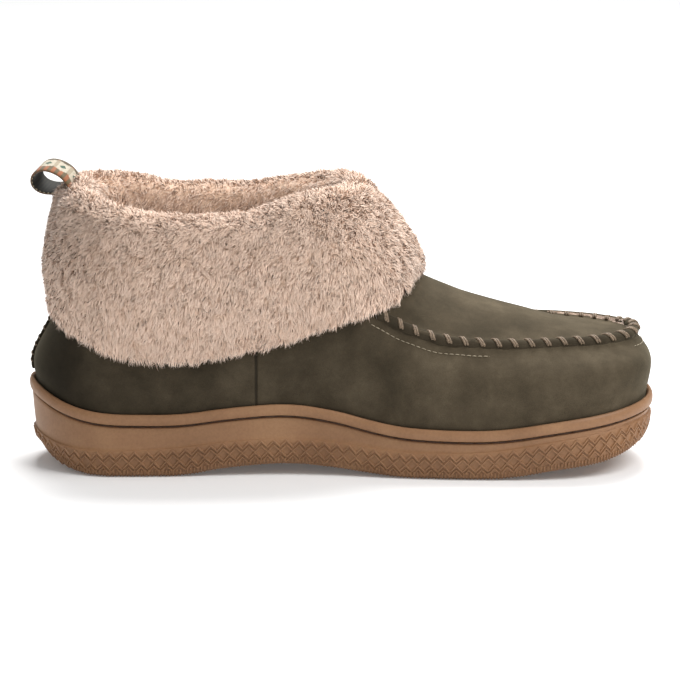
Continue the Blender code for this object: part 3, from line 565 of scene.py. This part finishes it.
def suede_of(name, lightness):
    """Suede in one shade of olive brown, its nap brushed in patches, with painted shade at the heel and side
    lap.
    """
    made = finish_of(name, screen(96, 87, 70), 0.92, Sheen_Weight=0.22, Sheen_Roughness=0.45)
    tree, shader = shader_in(made)
    shader.inputs["Sheen Tint"].default_value = (*screen(190, 180, 150), 1)
    shader.inputs["Specular IOR Level"].default_value = 0.12
    flat, middle, raised = (
        tuple(c * lightness for c in screen(*shade)) for shade in ((60, 53, 41), (76, 67, 53), (94, 84, 68))
    )
    nap = ramp_in(tree, noise_in(tree, 42, 6, 0.62), (0.30, flat), (0.5, middle), (0.72, raised))
    brushed = noise_in(tree, 130, 5, 0.6)
    patches = ramp_in(tree, brushed, (0.3, (0.78, 0.77, 0.76)), (0.68, (1.10, 1.10, 1.10)))
    nap = mixed_in(tree, "MULTIPLY", 0.55, nap, patches)
    grain = noise_in(tree, 2600, 3, 0.7)
    grains = ramp_in(tree, grain, (0.34, (0.6, 0.6, 0.6)), (0.62, (1.15, 1.15, 1.15)))
    nap = mixed_in(tree, "MULTIPLY", 0.5, nap, grains)
    place = node_in(tree, "ShaderNodeTexCoord")
    split = node_in(tree, "ShaderNodeSeparateXYZ")
    tree.links.new(place.outputs["Object"], split.inputs[0])
    # Painted shade: the colour darkens towards the heel along X
    heel_shade_place = node_in(tree, "ShaderNodeMapRange")
    heel_shade_place.inputs["From Min"].default_value = HEEL_SHADE_FROM
    heel_shade_place.inputs["From Max"].default_value = HEEL_SHADE_TO
    tree.links.new(split.outputs["X"], heel_shade_place.inputs["Value"])
    stops = [(0.05, 0.28), (0.18, 0.72), (0.37, 0.72), (0.66, 0.74), (0.93, 1.0)]
    painted_heel_shade = ramp_in(tree, heel_shade_place.outputs[0], *[(share, (c, c, c)) for share, c in stops])
    nap = mixed_in(tree, "MULTIPLY", 1.0, nap, painted_heel_shade)
    lap = node_in(tree, "ShaderNodeMath", operation="SUBTRACT")
    lap.inputs[1].default_value = SIDE_SEAM_X
    tree.links.new(split.outputs["X"], lap.inputs[0])
    off_seam = node_in(tree, "ShaderNodeMath", operation="ABSOLUTE")
    tree.links.new(lap.outputs[0], off_seam.inputs[0])
    groove = node_in(tree, "ShaderNodeMapRange", interpolation_type="SMOOTHSTEP")
    groove.inputs["From Min"].default_value = LAP_LIP
    groove.inputs["From Max"].default_value = LAP_EDGE
    tree.links.new(off_seam.outputs[0], groove.inputs["Value"])
    # Painted shade: the colour darkens in the groove where the upper laps at its side seam
    shaded = ramp_in(tree, groove.outputs[0], (0.0, (0.25, 0.25, 0.25)), (1.0, (1, 1, 1)))
    nap = mixed_in(tree, "MULTIPLY", 0.75, nap, shaded)
    tree.links.new(nap, shader.inputs["Base Color"])
    fine = bump_in(tree, grain, 0.5, NAP_DEPTH)
    fine = bump_in(tree, brushed, 0.35, 3 * NAP_DEPTH, fine)
    step = bump_in(tree, groove.outputs[0], 0.8, 0.5 * MM, fine)
    tree.links.new(step, shader.inputs["Normal"])
    return made


olive_suede = suede_of("olive_suede", 1.0)
fleece_lining = finish_of("fleece_lining", screen(178, 152, 132), 0.95, Sheen_Weight=0.4)
tree, shader = shader_in(fleece_lining)
tree.links.new(
    ramp_in(tree, noise_in(tree, 420, 5), (0.3, screen(150, 122, 102)), (0.7, screen(196, 172, 152))),
    shader.inputs["Base Color"],
)
tree.links.new(bump_in(tree, noise_in(tree, 700, 4), 0.9, 1.2 * MM), shader.inputs["Normal"])

suede_upper = merged_copy("upper", "suede_upper")
upper_tree = tree_of(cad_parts["upper"])
rounded(suede_upper, 2)
suede_upper.data.materials.append(olive_suede)
suede_upper.data.materials.append(fleece_lining)
mesh = suede_upper.data
mesh.update()
for vertex in mesh.vertices:
    move = 0.0
    for crease_line in CREASES:
        start, end = Vector(crease_line.start) * MM, Vector(crease_line.end) * MM
        width, depth = crease_line.width * MM, crease_line.depth * MM
        along = end - start
        share = max(0.0, min(1.0, (vertex.co - start).dot(along) / along.length_squared))
        off = (vertex.co - start.lerp(end, share)).length
        if off < 3 * width:
            fade = math.sin(math.pi * (0.15 + 0.7 * share))
            near = (off / width) ** 2
            move += depth * fade * (0.45 * math.exp(-((off - 1.9 * width) / width) ** 2) - math.exp(-near))
    if move:
        vertex.co += vertex.normal * move
# What faces the slipper's middle line is lining
for face in mesh.polygons:
    middle_x = max(LINING_FROM, min(LINING_TO, face.center.x))
    place = (middle_x - HEEL_AT.x) / SOLE_LENGTH
    middle = Vector((middle_x, HEEL_AT.y + sole_reading("centre", place) * BALL_WIDTH, LINING_MIDDLE))
    if face.normal.dot(middle - face.center) > 0:
        face.material_index = 1
suede_tree = tree_of(suede_upper)
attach(suede_upper, "root")
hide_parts("upper")


# Apron seam: the edges of the apron and the side are turned up together into a plump roll and whip-stitched
# over with doubled waxed thread. A fine machine stitch runs just under the roll.
ROLL_RADIUS = 2.5 * MM
ROLL_LIFT = 0.5 * MM
FAR_ROLL_DROP = 0.9 * MM
WHIP_PITCH = 7.0 * MM
WHIP_THREAD = 0.55 * MM
WHIP_SLANT = -4.6 * MM
WHIP_ARC = (-85, 62)
STRAND_OFFSET = 0.5225 * MM
MACHINE_PITCH = 2.4 * MM
MACHINE_LENGTH = 1.8 * MM
MACHINE_THREAD = 0.2 * MM
MACHINE_OUT = 4.2 * MM
MACHINE_DOWN = 4.4 * MM
COLLAR_HEIGHT = 112 * MM
LINE_STEP = 1.0 * MM

# X: share of the sole's length. Centre: share of the ball width. Half: share of half the ball width.
# Up: share of the collar's height.
SeamRow = namedtuple("SeamRow", "x centre half up")
SEAM_ROWS = [
    SeamRow(0.545, 0.035, 0.69, 0.630),
    SeamRow(0.589, 0.035, 0.70, 0.572),
    SeamRow(0.633, 0.034, 0.72, 0.530),
    SeamRow(0.688, 0.031, 0.72, 0.503),
    SeamRow(0.768, 0.020, 0.68, 0.492),
    SeamRow(0.836, 0.006, 0.62, 0.494),
    SeamRow(0.896, -0.015, 0.52, 0.497),
    SeamRow(0.939, -0.034, 0.36, 0.501),
    SeamRow(0.960, -0.045, 0.20, 0.506),
    SeamRow(0.967, -0.048, 0.00, 0.509),
]


def smooth_line(knots, spacing):
    """Evenly spaced points along a smooth curve through a few points."""
    knots = np.array([tuple(k) for k in knots])
    ends = np.vstack([2 * knots[0] - knots[1], knots, 2 * knots[-1] - knots[-2]])
    drawn = []
    for a, b, c, d in zip(ends, ends[1:], ends[2:], ends[3:]):
        for t in np.linspace(0, 1, 16, endpoint=False):
            bend = (2 * a - 5 * b + 4 * c - d) * t**2 + (3 * b - a - 3 * c + d) * t**3
            drawn.append(0.5 * (2 * b + (c - a) * t + bend))
    drawn.append(knots[-1])
    drawn = np.array(drawn)
    way = np.concatenate([[0], np.cumsum(np.linalg.norm(np.diff(drawn, axis=0), axis=1))])
    places = np.linspace(0, way[-1], max(2, round(way[-1] / spacing)) + 1)
    return [Vector([np.interp(p, way, drawn[:, i]) for i in range(3)]) for p in places]


def seam_knot(row, side_sign):
    """A point of the seam, on its near side with sign -1 and its far side with 1."""
    y = row.centre * BALL_WIDTH + side_sign * row.half * BALL_WIDTH / 2
    return HEEL_AT + Vector((row.x * SOLE_LENGTH, y, row.up * COLLAR_HEIGHT))


seam_knots = [seam_knot(row, -1) for row in SEAM_ROWS] + [seam_knot(row, 1) for row in SEAM_ROWS[-2::-1]]
seam_line, seam_ups = smooth_line(seam_knots, LINE_STEP), []
apron_middle = HEEL_AT + Vector((0.76 * SOLE_LENGTH, 0.015 * BALL_WIDTH, 0))
for i, point in enumerate(seam_line):
    ahead = (seam_line[min(i + 1, len(seam_line) - 1)] - seam_line[max(i - 1, 0)]).normalized()
    outward = Vector((ahead.y, -ahead.x, 0)).normalized()
    if outward.dot(Vector((point.x - apron_middle.x, point.y - apron_middle.y, 0))) < 0:
        outward = -outward
    seam_ups.append((outward * 0.55 + Vector((0, 0, 1))).normalized())
far_side = [max(0.0, min(1.0, (point.y - apron_middle.y) / (12 * MM))) for point in seam_line]
roll_line = [
    point + up * (ROLL_LIFT - FAR_ROLL_DROP * far) for point, up, far in zip(seam_line, seam_ups, far_side)
]
whips = round(len(roll_line) * LINE_STEP / WHIP_PITCH)
per_whip = (len(roll_line) - 1) / whips
roll_radii = []
for i in range(len(roll_line)):
    puckered = 0.86 + 0.18 * math.sin(math.pi * ((i / per_whip) % 1.0)) ** 0.7
    ends = min(1.0, 0.4 + min(i, len(roll_line) - 1 - i) / 6)
    roll_radii.append(ROLL_RADIUS * puckered * ends * (1 - 0.2 * far_side[i]))
seam_suede = suede_of("seam_suede", 0.62)
points, faces = [], []
add_tube(points, faces, roll_line, roll_radii, seam_ups, 14)
piece_of("apron_seam_roll", points, faces, seam_suede)

taupe_thread = finish_of("taupe_thread", screen(112, 94, 74), 0.6)
tree, shader = shader_in(taupe_thread)
tree.links.new(
    ramp_in(tree, noise_in(tree, 1800, 2), (0.35, screen(84, 69, 54)), (0.65, screen(138, 118, 96))),
    shader.inputs["Base Color"],
)
points, faces = [], []
for k in range(whips):
    for strand in (-STRAND_OFFSET, STRAND_OFFSET):
        line, ups = [], []
        for angle in np.radians(np.linspace(*WHIP_ARC, 11)):
            slant = angle / math.radians(100) * WHIP_SLANT / 2
            place = (k + 0.02) * per_whip + (strand - slant) / LINE_STEP
            i = min(max(place, 0), len(roll_line) - 1.001)
            low = int(i)
            centre = roll_line[low].lerp(roll_line[low + 1], i - low)
            ahead = (roll_line[low + 1] - roll_line[low]).normalized()
            up = seam_ups[low]
            across = ahead.cross(up).normalized()
            radial = up * math.cos(angle) + across * math.sin(angle)
            line.append(centre + radial * (ROLL_RADIUS * 0.9 + WHIP_THREAD * 0.75))
            ups.append(radial)
        radii = [WHIP_THREAD * (0.7 if j in (0, 10) else 1) for j in range(11)]
        add_tube(points, faces, line, radii, ups, 6)
piece_of("apron_whip_stitches", points, faces, taupe_thread)


def machine_stitches(points, faces, line, ups, pitch, length, thread):
    """Adds small stitches along a line on the surface."""
    count = int(len(line) * LINE_STEP / pitch)
    for k in range(count):
        centre = (k + 0.5) * (len(line) - 1) / count
        spots = []
        for share in (-0.5, -0.25, 0.0, 0.25, 0.5):
            i = min(max(centre + share * length / LINE_STEP, 0), len(line) - 1.001)
            low = int(i)
            spots.append((line[low].lerp(line[low + 1], i - low), ups[low]))
        lifts = (-0.2, 0.55, 0.8, 0.55, -0.2)
        raised = [point + up * thread * lift for (point, up), lift in zip(spots, lifts)]
        add_tube(points, faces, raised, [thread * r for r in (0.6, 1, 1, 1, 0.6)], [up for _, up in spots], 5)


under_line, under_ups = [], []
for point, up in zip(seam_line, seam_ups):
    outward = Vector((up.x, up.y, 0)).normalized()
    spot, normal, _, _ = suede_tree.find_nearest(point + outward * MACHINE_OUT - Vector((0, 0, MACHINE_DOWN)))
    under_line.append(spot + normal * (0.1 * MM))
    under_ups.append(normal)
pale_thread = finish_of("pale_thread", screen(150, 138, 116), 0.6)
points, faces = [], []
machine_stitches(points, faces, under_line, under_ups, MACHINE_PITCH, MACHINE_LENGTH, MACHINE_THREAD)
piece_of("apron_machine_stitch", points, faces, pale_thread)


# Heel seam: the two halves of the upper meet at the back of the heel under a narrow cord of suede, which is
# whipped down in small bumps.
HEEL_CORD = 0.9 * MM
HEEL_WHIP_PITCH = 3.6 * MM
HEEL_THREAD = 0.38 * MM
HEEL_SEAM_MM = (40, 84)
heel_line = []
for height in np.arange(*HEEL_SEAM_MM) * LINE_STEP:
    spot, _, _, _ = suede_tree.ray_cast(Vector((2 * HEEL_AT.x, HEEL_AT.y, height)), Vector((1, 0, 0)))
    heel_line.append(spot - Vector((0.3, 0, 0)) * MM)
heel_ups = [Vector((-1, 0, 0))] * len(heel_line)
points, faces = [], []
bumps = [abs(math.sin(math.pi * i * LINE_STEP / HEEL_WHIP_PITCH)) for i in range(len(heel_line))]
cord_radii = [HEEL_CORD * (0.75 + 0.3 * bump) for bump in bumps]
add_tube(points, faces, heel_line, cord_radii, heel_ups, 10)
piece_of("heel_seam_cord", points, faces, olive_suede)
points, faces = [], []
for k in range(1, int(len(heel_line) * LINE_STEP / HEEL_WHIP_PITCH)):
    centre = heel_line[round(k * HEEL_WHIP_PITCH / LINE_STEP)]
    line, ups = [], []
    for angle in np.radians(np.linspace(-80, 80, 7)):
        radial = Vector((-math.cos(angle), math.sin(angle), 0))
        line.append(centre + radial * (HEEL_CORD * 0.95) + Vector((0, 0, math.sin(angle) * 0.8 * MM)))
        ups.append(radial)
    add_tube(points, faces, line, [HEEL_THREAD] * len(line), ups, 6)
piece_of("heel_whip_stitches", points, faces, taupe_thread)


# Insole: a soft footbed covered in short matted fleece like the lining's. It is laid into the upper and
# fills the floor of the moulded cup.
fleece_footbed = merged_copy("insole", "fleece_footbed")
rounded(fleece_footbed, 1)
fleece_footbed.data.materials.append(fleece_lining)
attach(fleece_footbed, "root")
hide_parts("insole")


# Fleece cuff: a deep sand pile on a knitted back, sewn inside the collar and turned down over it. The pile
# stands in small tufts with pale tips, lies down towards its hem and ends there in a fringe.
SKIN_SET_IN = 1.1 * MM
TUFT_DEPTH = 0.7 * MM
PILE_LENGTH = 3.1 * MM
BLADE_WIDTH = 0.36 * MM
TUFT_SIZE = 2.0 * MM
FRONT_LIFT = 3.4 * MM
FRONT_LIFT_AT = -20 * MM
FRONT_LIFT_WIDTH = 17 * MM
FRONT_LIFT_FROM = 84 * MM
FRONT_LIFT_OVER = 18 * MM
SEWN_DOWN = 2 * MM
SWELLS_OVER = 4 * MM
CLEAR_OF_UPPER = 1.4 * MM
CREST_FROM = 104 * MM
COLLAR_MIDDLE = -45 * MM
COLLAR_REACH = 70 * MM
OPENING_FROM = -85 * MM
OPENING_TO = -30 * MM
HEM_FROM = 1.5 * MM
HEM_OVER = 6 * MM
OUTER_BLADES = 65000
CREST_BLADES = 65000
FLEECE_SEED = 20

cuff_low, cuff_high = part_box("cuff")


def smooth_normals(mesh):
    """The normals of a mesh's vertices, one row each."""
    normals = np.empty(len(mesh.vertices) * 3)
    mesh.vertex_normals.foreach_get("vector", normals)
    return normals.reshape(-1, 3)


def scattered(piece, weight, count, rng):
    """Places on a piece's triangles, spread by area and weight, with smooth normals."""
    mesh = piece.data
    mesh.calc_loop_triangles()
    corners = np.empty(len(mesh.loop_triangles) * 3, np.int32)
    mesh.loop_triangles.foreach_get("vertices", corners)
    corners = corners.reshape(-1, 3)
    spots = np.empty(len(mesh.vertices) * 3)
    mesh.vertices.foreach_get("co", spots)
    spots = spots.reshape(-1, 3)
    normals = smooth_normals(mesh)
    a, b, c = (spots[corners[:, i]] for i in range(3))
    areas = np.linalg.norm(np.cross(b - a, c - a), axis=1) / 2
    centres = (a + b + c) / 3
    ways = normals[corners].mean(axis=1)
    chance = areas * weight(centres, ways)
    picked = rng.choice(len(corners), size=count, p=chance / chance.sum())
    u, v = rng.random(count), rng.random(count)
    over = u + v > 1
    u[over], v[over] = 1 - u[over], 1 - v[over]
    shares = np.stack([1 - u - v, u, v], axis=1)[:, :, None]
    roots = (spots[corners[picked]] * shares).sum(axis=1)
    around = (normals[corners[picked]] * shares).sum(axis=1)
    return roots, around / np.linalg.norm(around, axis=1)[:, None]


def unit(rows):
    """Rows scaled to a length of 1."""
    return rows / np.maximum(np.linalg.norm(rows, axis=1), 1e-9)[:, None]


def grow_fleece(name, roots, normals, lay, lean, length, finish, rng):
    """One piece of joined blades: lay is the way they lie on the surface, and lean how far, from 0 to 1."""
    count = len(roots)
    centres = roots[rng.choice(count, size=max(8, int(count * 0.03)), replace=False)]
    finder = KDTree(len(centres))
    for i, centre in enumerate(centres):
        finder.insert(centre, i)
    finder.balance()
    nearest = np.array([finder.find(root)[1] for root in roots])
    swirl = rng.normal(0, 0.15, (len(centres), 3))[nearest]
    loose = rng.normal(0, 0.18, (count, 3))
    way = unit(normals * (1 - lean)[:, None] + lay * lean[:, None] + swirl + loose)
    tall = length * (0.82 + 0.30 * rng.random(count)) * (0.88 + 0.24 * rng.random(len(centres)))[nearest]
    gather = (centres[nearest] - roots) * 0.22
    off_centre = np.linalg.norm(centres[nearest] - roots, axis=1)
    gather *= np.minimum(1, TUFT_SIZE / np.maximum(off_centre, 1e-9))[:, None]
    middle = roots + unit(way * 0.55 + normals * 0.45) * (tall * 0.5)[:, None] + gather * 0.3
    tip = roots + way * tall[:, None] + gather - np.array([0, 0, 0.10]) * tall[:, None]
    flat = unit(np.cross(way, normals + rng.normal(0, 0.35, (count, 3))))
    half = flat * (BLADE_WIDTH * (0.7 + 0.6 * rng.random(count)) / 2)[:, None]
    points = np.stack([roots - half, roots + half, middle - half * 0.85, middle + half * 0.85, tip], axis=1)
    first = np.arange(count)[:, None] * 5
    loops = np.concatenate([first + np.array([0, 1, 3, 2]), first + np.array([2, 3, 4])], axis=1).ravel()
    mesh = bpy.data.meshes.new(name)
    mesh.vertices.add(count * 5)
    mesh.vertices.foreach_set("co", points.ravel())
    mesh.loops.add(count * 7)
    mesh.loops.foreach_set("vertex_index", loops.astype(np.int32))
    mesh.polygons.add(count * 2)
    starts = (np.arange(count)[:, None] * 7 + np.array([0, 4])).ravel()
    mesh.polygons.foreach_set("loop_start", starts.astype(np.int32))
    mesh.update(calc_edges=True)
    tone = (0.5 + rng.normal(0, 0.13, len(centres)))[nearest] + rng.normal(0, 0.08, count)
    for label, values in (("up_blade", np.tile([0, 0, 0.5, 0.5, 1.0], count)), ("tone", np.repeat(tone, 5))):
        kept = mesh.attributes.new(label, "FLOAT", "POINT")
        kept.data.foreach_set("value", values.astype(np.float32))
    across = math.ceil(math.sqrt(count))
    column, row = np.arange(count) % across, np.arange(count) // across
    cell = np.array([[0.15, 0.1], [0.85, 0.1], [0.8, 0.5], [0.2, 0.5], [0.2, 0.5], [0.8, 0.5], [0.5, 0.9]])
    flat_map = (np.stack([column, row], axis=1)[:, None, :] + cell[None]) / across
    uv = mesh.uv_layers.new(name="OFBake")
    uv.data.foreach_set("uv", flat_map.ravel().astype(np.float32))
    mesh.shade_smooth()
    soft = unit(np.repeat(normals, 5, axis=0) + np.repeat(rng.normal(0, 0.22, (count, 3)), 5, axis=0))
    mesh.normals_split_custom_set_from_vertices(soft.tolist())
    made = bpy.data.objects.new(name, mesh)
    bpy.context.scene.collection.objects.link(made)
    mesh.materials.append(finish)
    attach(made, "root")


def fleece_of(name, root, middle, tip):
    """Pile that is darker at its roots, tuft by tuft."""
    made = finish_of(name, middle, 0.9, Sheen_Weight=0.3, Sheen_Roughness=0.5, Specular_IOR_Level=0.1)
    tree, shader = shader_in(made)
    up_blade = node_in(tree, "ShaderNodeAttribute", attribute_name="up_blade")
    tone = node_in(tree, "ShaderNodeAttribute", attribute_name="tone")
    colour = ramp_in(tree, up_blade.outputs["Fac"], (0.0, root), (0.5, middle), (1.0, tip))
    shades = [(0.1, (0.86, 0.81, 0.76)), (0.5, (0.97, 0.96, 0.95)), (0.9, (1.04, 1.04, 1.04))]
    colour = mixed_in(tree, "MULTIPLY", 1.0, colour, ramp_in(tree, tone.outputs["Fac"], *shades))
    tree.links.new(colour, shader.inputs["Base Color"])
    return made


sand_fleece = fleece_of("sand_fleece", screen(216, 182, 157), screen(236, 207, 186), screen(248, 226, 209))

cuff_skin = merged_copy("cuff", "cuff_skin")
rounded(cuff_skin, 1)
cuff_skin.data.update()
for vertex in cuff_skin.data.vertices:
    spot = vertex.co.copy()
    gap = upper_tree.find_nearest(spot)[3]
    free = min(1.0, max(0.0, (gap - SEWN_DOWN) / SWELLS_OVER))
    tufts = noise.noise(spot * 210) + 0.5 * noise.noise(spot * 430)
    vertex.co -= vertex.normal * free * (SKIN_SET_IN - TUFT_DEPTH * tufts)
    near_side = max(0.0, min(1.0, -(spot.y - HEEL_AT.y) / (20 * MM)))
    high = max(0.0, min(1.0, (spot.z - FRONT_LIFT_FROM) / FRONT_LIFT_OVER))
    off_lift = (spot.x - FRONT_LIFT_AT) / FRONT_LIFT_WIDTH
    vertex.co.z += FRONT_LIFT * near_side * high * math.exp(-(off_lift**2))
skin_finish = finish_of("fleece_skin", screen(176, 146, 124), 0.95, Sheen_Weight=0.3)
tree, shader = shader_in(skin_finish)
tree.links.new(
    ramp_in(tree, noise_in(tree, 380, 5), (0.3, screen(216, 182, 154)), (0.7, screen(238, 208, 184))),
    shader.inputs["Base Color"],
)
tree.links.new(bump_in(tree, noise_in(tree, 600, 4), 0.8, 1.0 * MM), shader.inputs["Normal"])
cuff_skin.data.materials.append(skin_finish)
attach(cuff_skin, "root")
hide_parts("cuff")

rng = np.random.default_rng(FLEECE_SEED)


def off_upper(spots):
    """How far each place lies from the upper."""
    return np.array([upper_tree.find_nearest(Vector(spot))[3] for spot in spots])


def pile_lay(roots, normals, down):
    """The lay of the pile: back towards the heel near its top, and down at its hem and in front."""
    steep = np.radians(np.clip(22 + 62 * down, 20, 84))
    back_to_heel = np.interp(roots[:, 0], [-0.12, -0.08, -0.01, 0.03], [0.1, 1.0, 0.8, -0.1])
    lay = np.stack([-np.cos(steep) * back_to_heel, np.zeros(len(roots)), -np.sin(steep)], axis=1)
    lay -= normals * (lay * normals).sum(axis=1)[:, None]
    return lay


def outside(sign, spots, ways):
    """Weight 1 on the outer face of one side of the cuff, clear of the upper, and next to 0 elsewhere."""
    on_side = (spots[:, 1] - HEEL_AT.y) * sign > 0
    facing_out = (ways[:, 1] * sign > -0.15) | (np.abs(spots[:, 0] - COLLAR_MIDDLE) > COLLAR_REACH)
    return on_side * facing_out * (off_upper(spots) > CLEAR_OF_UPPER) + 1e-9


for label, sign in (("inner_side", -1), ("outer_side", 1)):
    roots, normals = scattered(cuff_skin, partial(outside, sign), OUTER_BLADES, rng)
    height = (roots[:, 2] - cuff_low.z) / (cuff_high.z - cuff_low.z)
    near_hem = np.clip(1 - (off_upper(roots) - HEM_FROM) / HEM_OVER, 0, 1)
    lean = np.clip(0.60 + 0.18 * near_hem - 0.08 * height, 0, 0.8)
    length = PILE_LENGTH * (1 + 0.4 * near_hem)
    lay = pile_lay(roots, normals, np.clip(1.1 - height, 0, 1))
    grow_fleece(f"fleece_{label}", roots, normals, lay, lean, length, sand_fleece, rng)


def crest_and_inside(spots, ways):
    """Weight 1 on what faces the foot and on the crest, and next to 0 elsewhere."""
    along = np.clip(spots[:, 0], OPENING_FROM, OPENING_TO)
    middle = np.stack([along, np.full(len(spots), HEEL_AT.y)], axis=1)
    inward = ((middle - spots[:, :2]) * ways[:, :2]).sum(axis=1) > 0
    return (inward | (spots[:, 2] > CREST_FROM)) + 1e-9


roots, normals = scattered(cuff_skin, crest_and_inside, CREST_BLADES, rng)
lay = pile_lay(roots, normals, np.full(len(roots), 0.35))
lean = np.full(len(roots), 0.55)
length = np.full(len(roots), PILE_LENGTH * 0.9)
grow_fleece("fleece_crest", roots, normals, lay, lean, length, sand_fleece, rng)


# Pull loop: a jacquard tape with a zigzag between two scalloped edges, folded into an oval loop and sewn
# into the back of the collar. Its back is a dark rib.
TAPE_WIDTH = 12.0 * MM
TAPE_THICKNESS = 1.4 * MM
LOOP_LENGTH = 17.5 * MM
LOOP_HEIGHT = 17.5 * MM
LOOP_LEAN = math.radians(15)
LOOP_TURN = math.radians(-23)
ZIGZAG_PITCH = 6.5 * MM
THREAD_STEP = 0.4 * MM
PICOT_PITCH = 2.2 * MM
PICOT_DEPTH = 0.22 * MM
WEAVE_RELIEF = 0.06 * MM
# The tape's middle line from the collar's edge, as shares of the loop's length and height
LOOP_SHAPE = [
    (0.04, 0.09), (0.05, 0.36), (0.00, 0.62), (-0.13, 0.82), (-0.34, 0.95), (-0.58, 1.00), (-0.80, 0.94),
    (-0.95, 0.77), (-0.96, 0.58), (-0.84, 0.44), (-0.64, 0.38), (-0.42, 0.38), (-0.22, 0.33), (-0.12, 0.10),
]
loop_path = smooth_line([(a * LOOP_LENGTH, 0, u * LOOP_HEIGHT) for a, u in LOOP_SHAPE], THREAD_STEP)
pivot = (loop_path[0] + loop_path[-1]) / 2
turned = Matrix.Rotation(LOOP_TURN, 4, "Z") @ Matrix.Rotation(LOOP_LEAN, 4, "X")
across_count = round(TAPE_WIDTH / THREAD_STEP)


def tape_colour(way, across):
    """The woven pattern of the tape's face: way along it, and across from -1 at its near edge to 1."""
    share = (way / ZIGZAG_PITCH) % 1.0
    wave = abs(share * 2 - 1)
    if across < -0.46 + 0.20 * wave:
        return screen(94, 78, 48) if (way / ZIGZAG_PITCH * 2) % 1.0 < 0.45 else screen(146, 86, 48)
    if across > 0.58 + 0.16 * wave:
        return screen(146, 90, 56) if wave > 0.8 and across < 0.8 else screen(84, 70, 47)
    if abs(share - 0.5) / 0.24 + abs(across - 0.12) / 0.24 < 1:
        return screen(62, 86, 68)
    return screen(188, 178, 158) if wave < 0.75 else screen(160, 148, 126)


points, faces, colours = [], [], []
count = len(loop_path)
for face_side in (1, -1):
    for i, point in enumerate(loop_path):
        ahead = loop_path[min(i + 1, count - 1)] - loop_path[max(i - 1, 0)]
        normal = Vector((-ahead.z, 0, ahead.x)).normalized()
        for j in range(across_count + 1):
            across = j / across_count * 2 - 1
            edge = 1 - 0.55 * max(0.0, abs(across) - 0.86) / 0.14
            ribbed = WEAVE_RELIEF * (1 if (i + j) % 2 else -1)
            picot = math.cos(2 * math.pi * i * THREAD_STEP / PICOT_PITCH)
            scalloped = PICOT_DEPTH * picot * (abs(across) > 0.92)
            aside = Vector((0, across * (TAPE_WIDTH / 2) + math.copysign(scalloped, across), 0))
            points.append(point - normal * face_side * (TAPE_THICKNESS / 2 * edge + ribbed) + aside)
columns = across_count + 1
back_start = count * columns
for i in range(count - 1):
    for j in range(across_count):
        a = i * columns + j
        faces.append((a + 1, a, a + columns, a + 1 + columns))
        across = (j + 0.5) / across_count * 2 - 1
        colours.append(tape_colour(i * THREAD_STEP, across))
for i in range(count - 1):
    for j in range(across_count):
        a = back_start + i * columns + j
        faces.append((a, a + 1, a + 1 + columns, a + columns))
        across = (j + 0.5) / across_count * 2 - 1
        dark = screen(44, 41, 28) if (i // 2) % 2 else screen(31, 29, 21)
        picot = abs(across) > 0.93 and i % 5 < 2
        colours.append(screen(170, 158, 132) if picot else dark)
for j in (0, across_count):
    for i in range(count - 1):
        a, b = i * columns + j, back_start + i * columns + j
        faces.append((a, a + columns, b + columns, b))
        colours.append(screen(96, 72, 50) if j == 0 else screen(150, 92, 60))
for i in (0, count - 1):
    for j in range(across_count):
        a, b = i * columns + j, back_start + i * columns + j
        faces.append((a, b, b + 1, a + 1))
        colours.append(screen(60, 50, 38))
about = Matrix.Translation(pivot) @ turned @ Matrix.Translation(-pivot)
points = [about @ p for p in points]
loop_low, loop_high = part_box("pull_loop")
made_low = Vector([min(p[i] for p in points) for i in range(3)])
made_high = Vector([max(p[i] for p in points) for i in range(3)])
shift = (loop_low + loop_high) / 2 - (made_low + made_high) / 2
points = [p + shift for p in points]
woven_tape = finish_of("woven_tape", screen(160, 146, 120), 0.82, Sheen_Weight=0.2)
tree, shader = shader_in(woven_tape)
thread_colour = node_in(tree, "ShaderNodeAttribute", attribute_name="thread_colour")
worn = ramp_in(tree, noise_in(tree, 900, 3), (0.3, (0.78, 0.78, 0.78)), (0.65, (1.05, 1.05, 1.05)))
worn_colour = mixed_in(tree, "MULTIPLY", 1.0, thread_colour.outputs["Color"], worn)
tree.links.new(worn_colour, shader.inputs["Base Color"])
woven_pull_loop = piece_of("woven_pull_loop", points, faces, woven_tape)
kept = woven_pull_loop.data.color_attributes.new("thread_colour", "FLOAT_COLOR", "CORNER")
for face, colour in zip(woven_pull_loop.data.polygons, colours):
    for loop in face.loop_indices:
        kept.data[loop].color = (*colour, 1)
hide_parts("pull_loop")
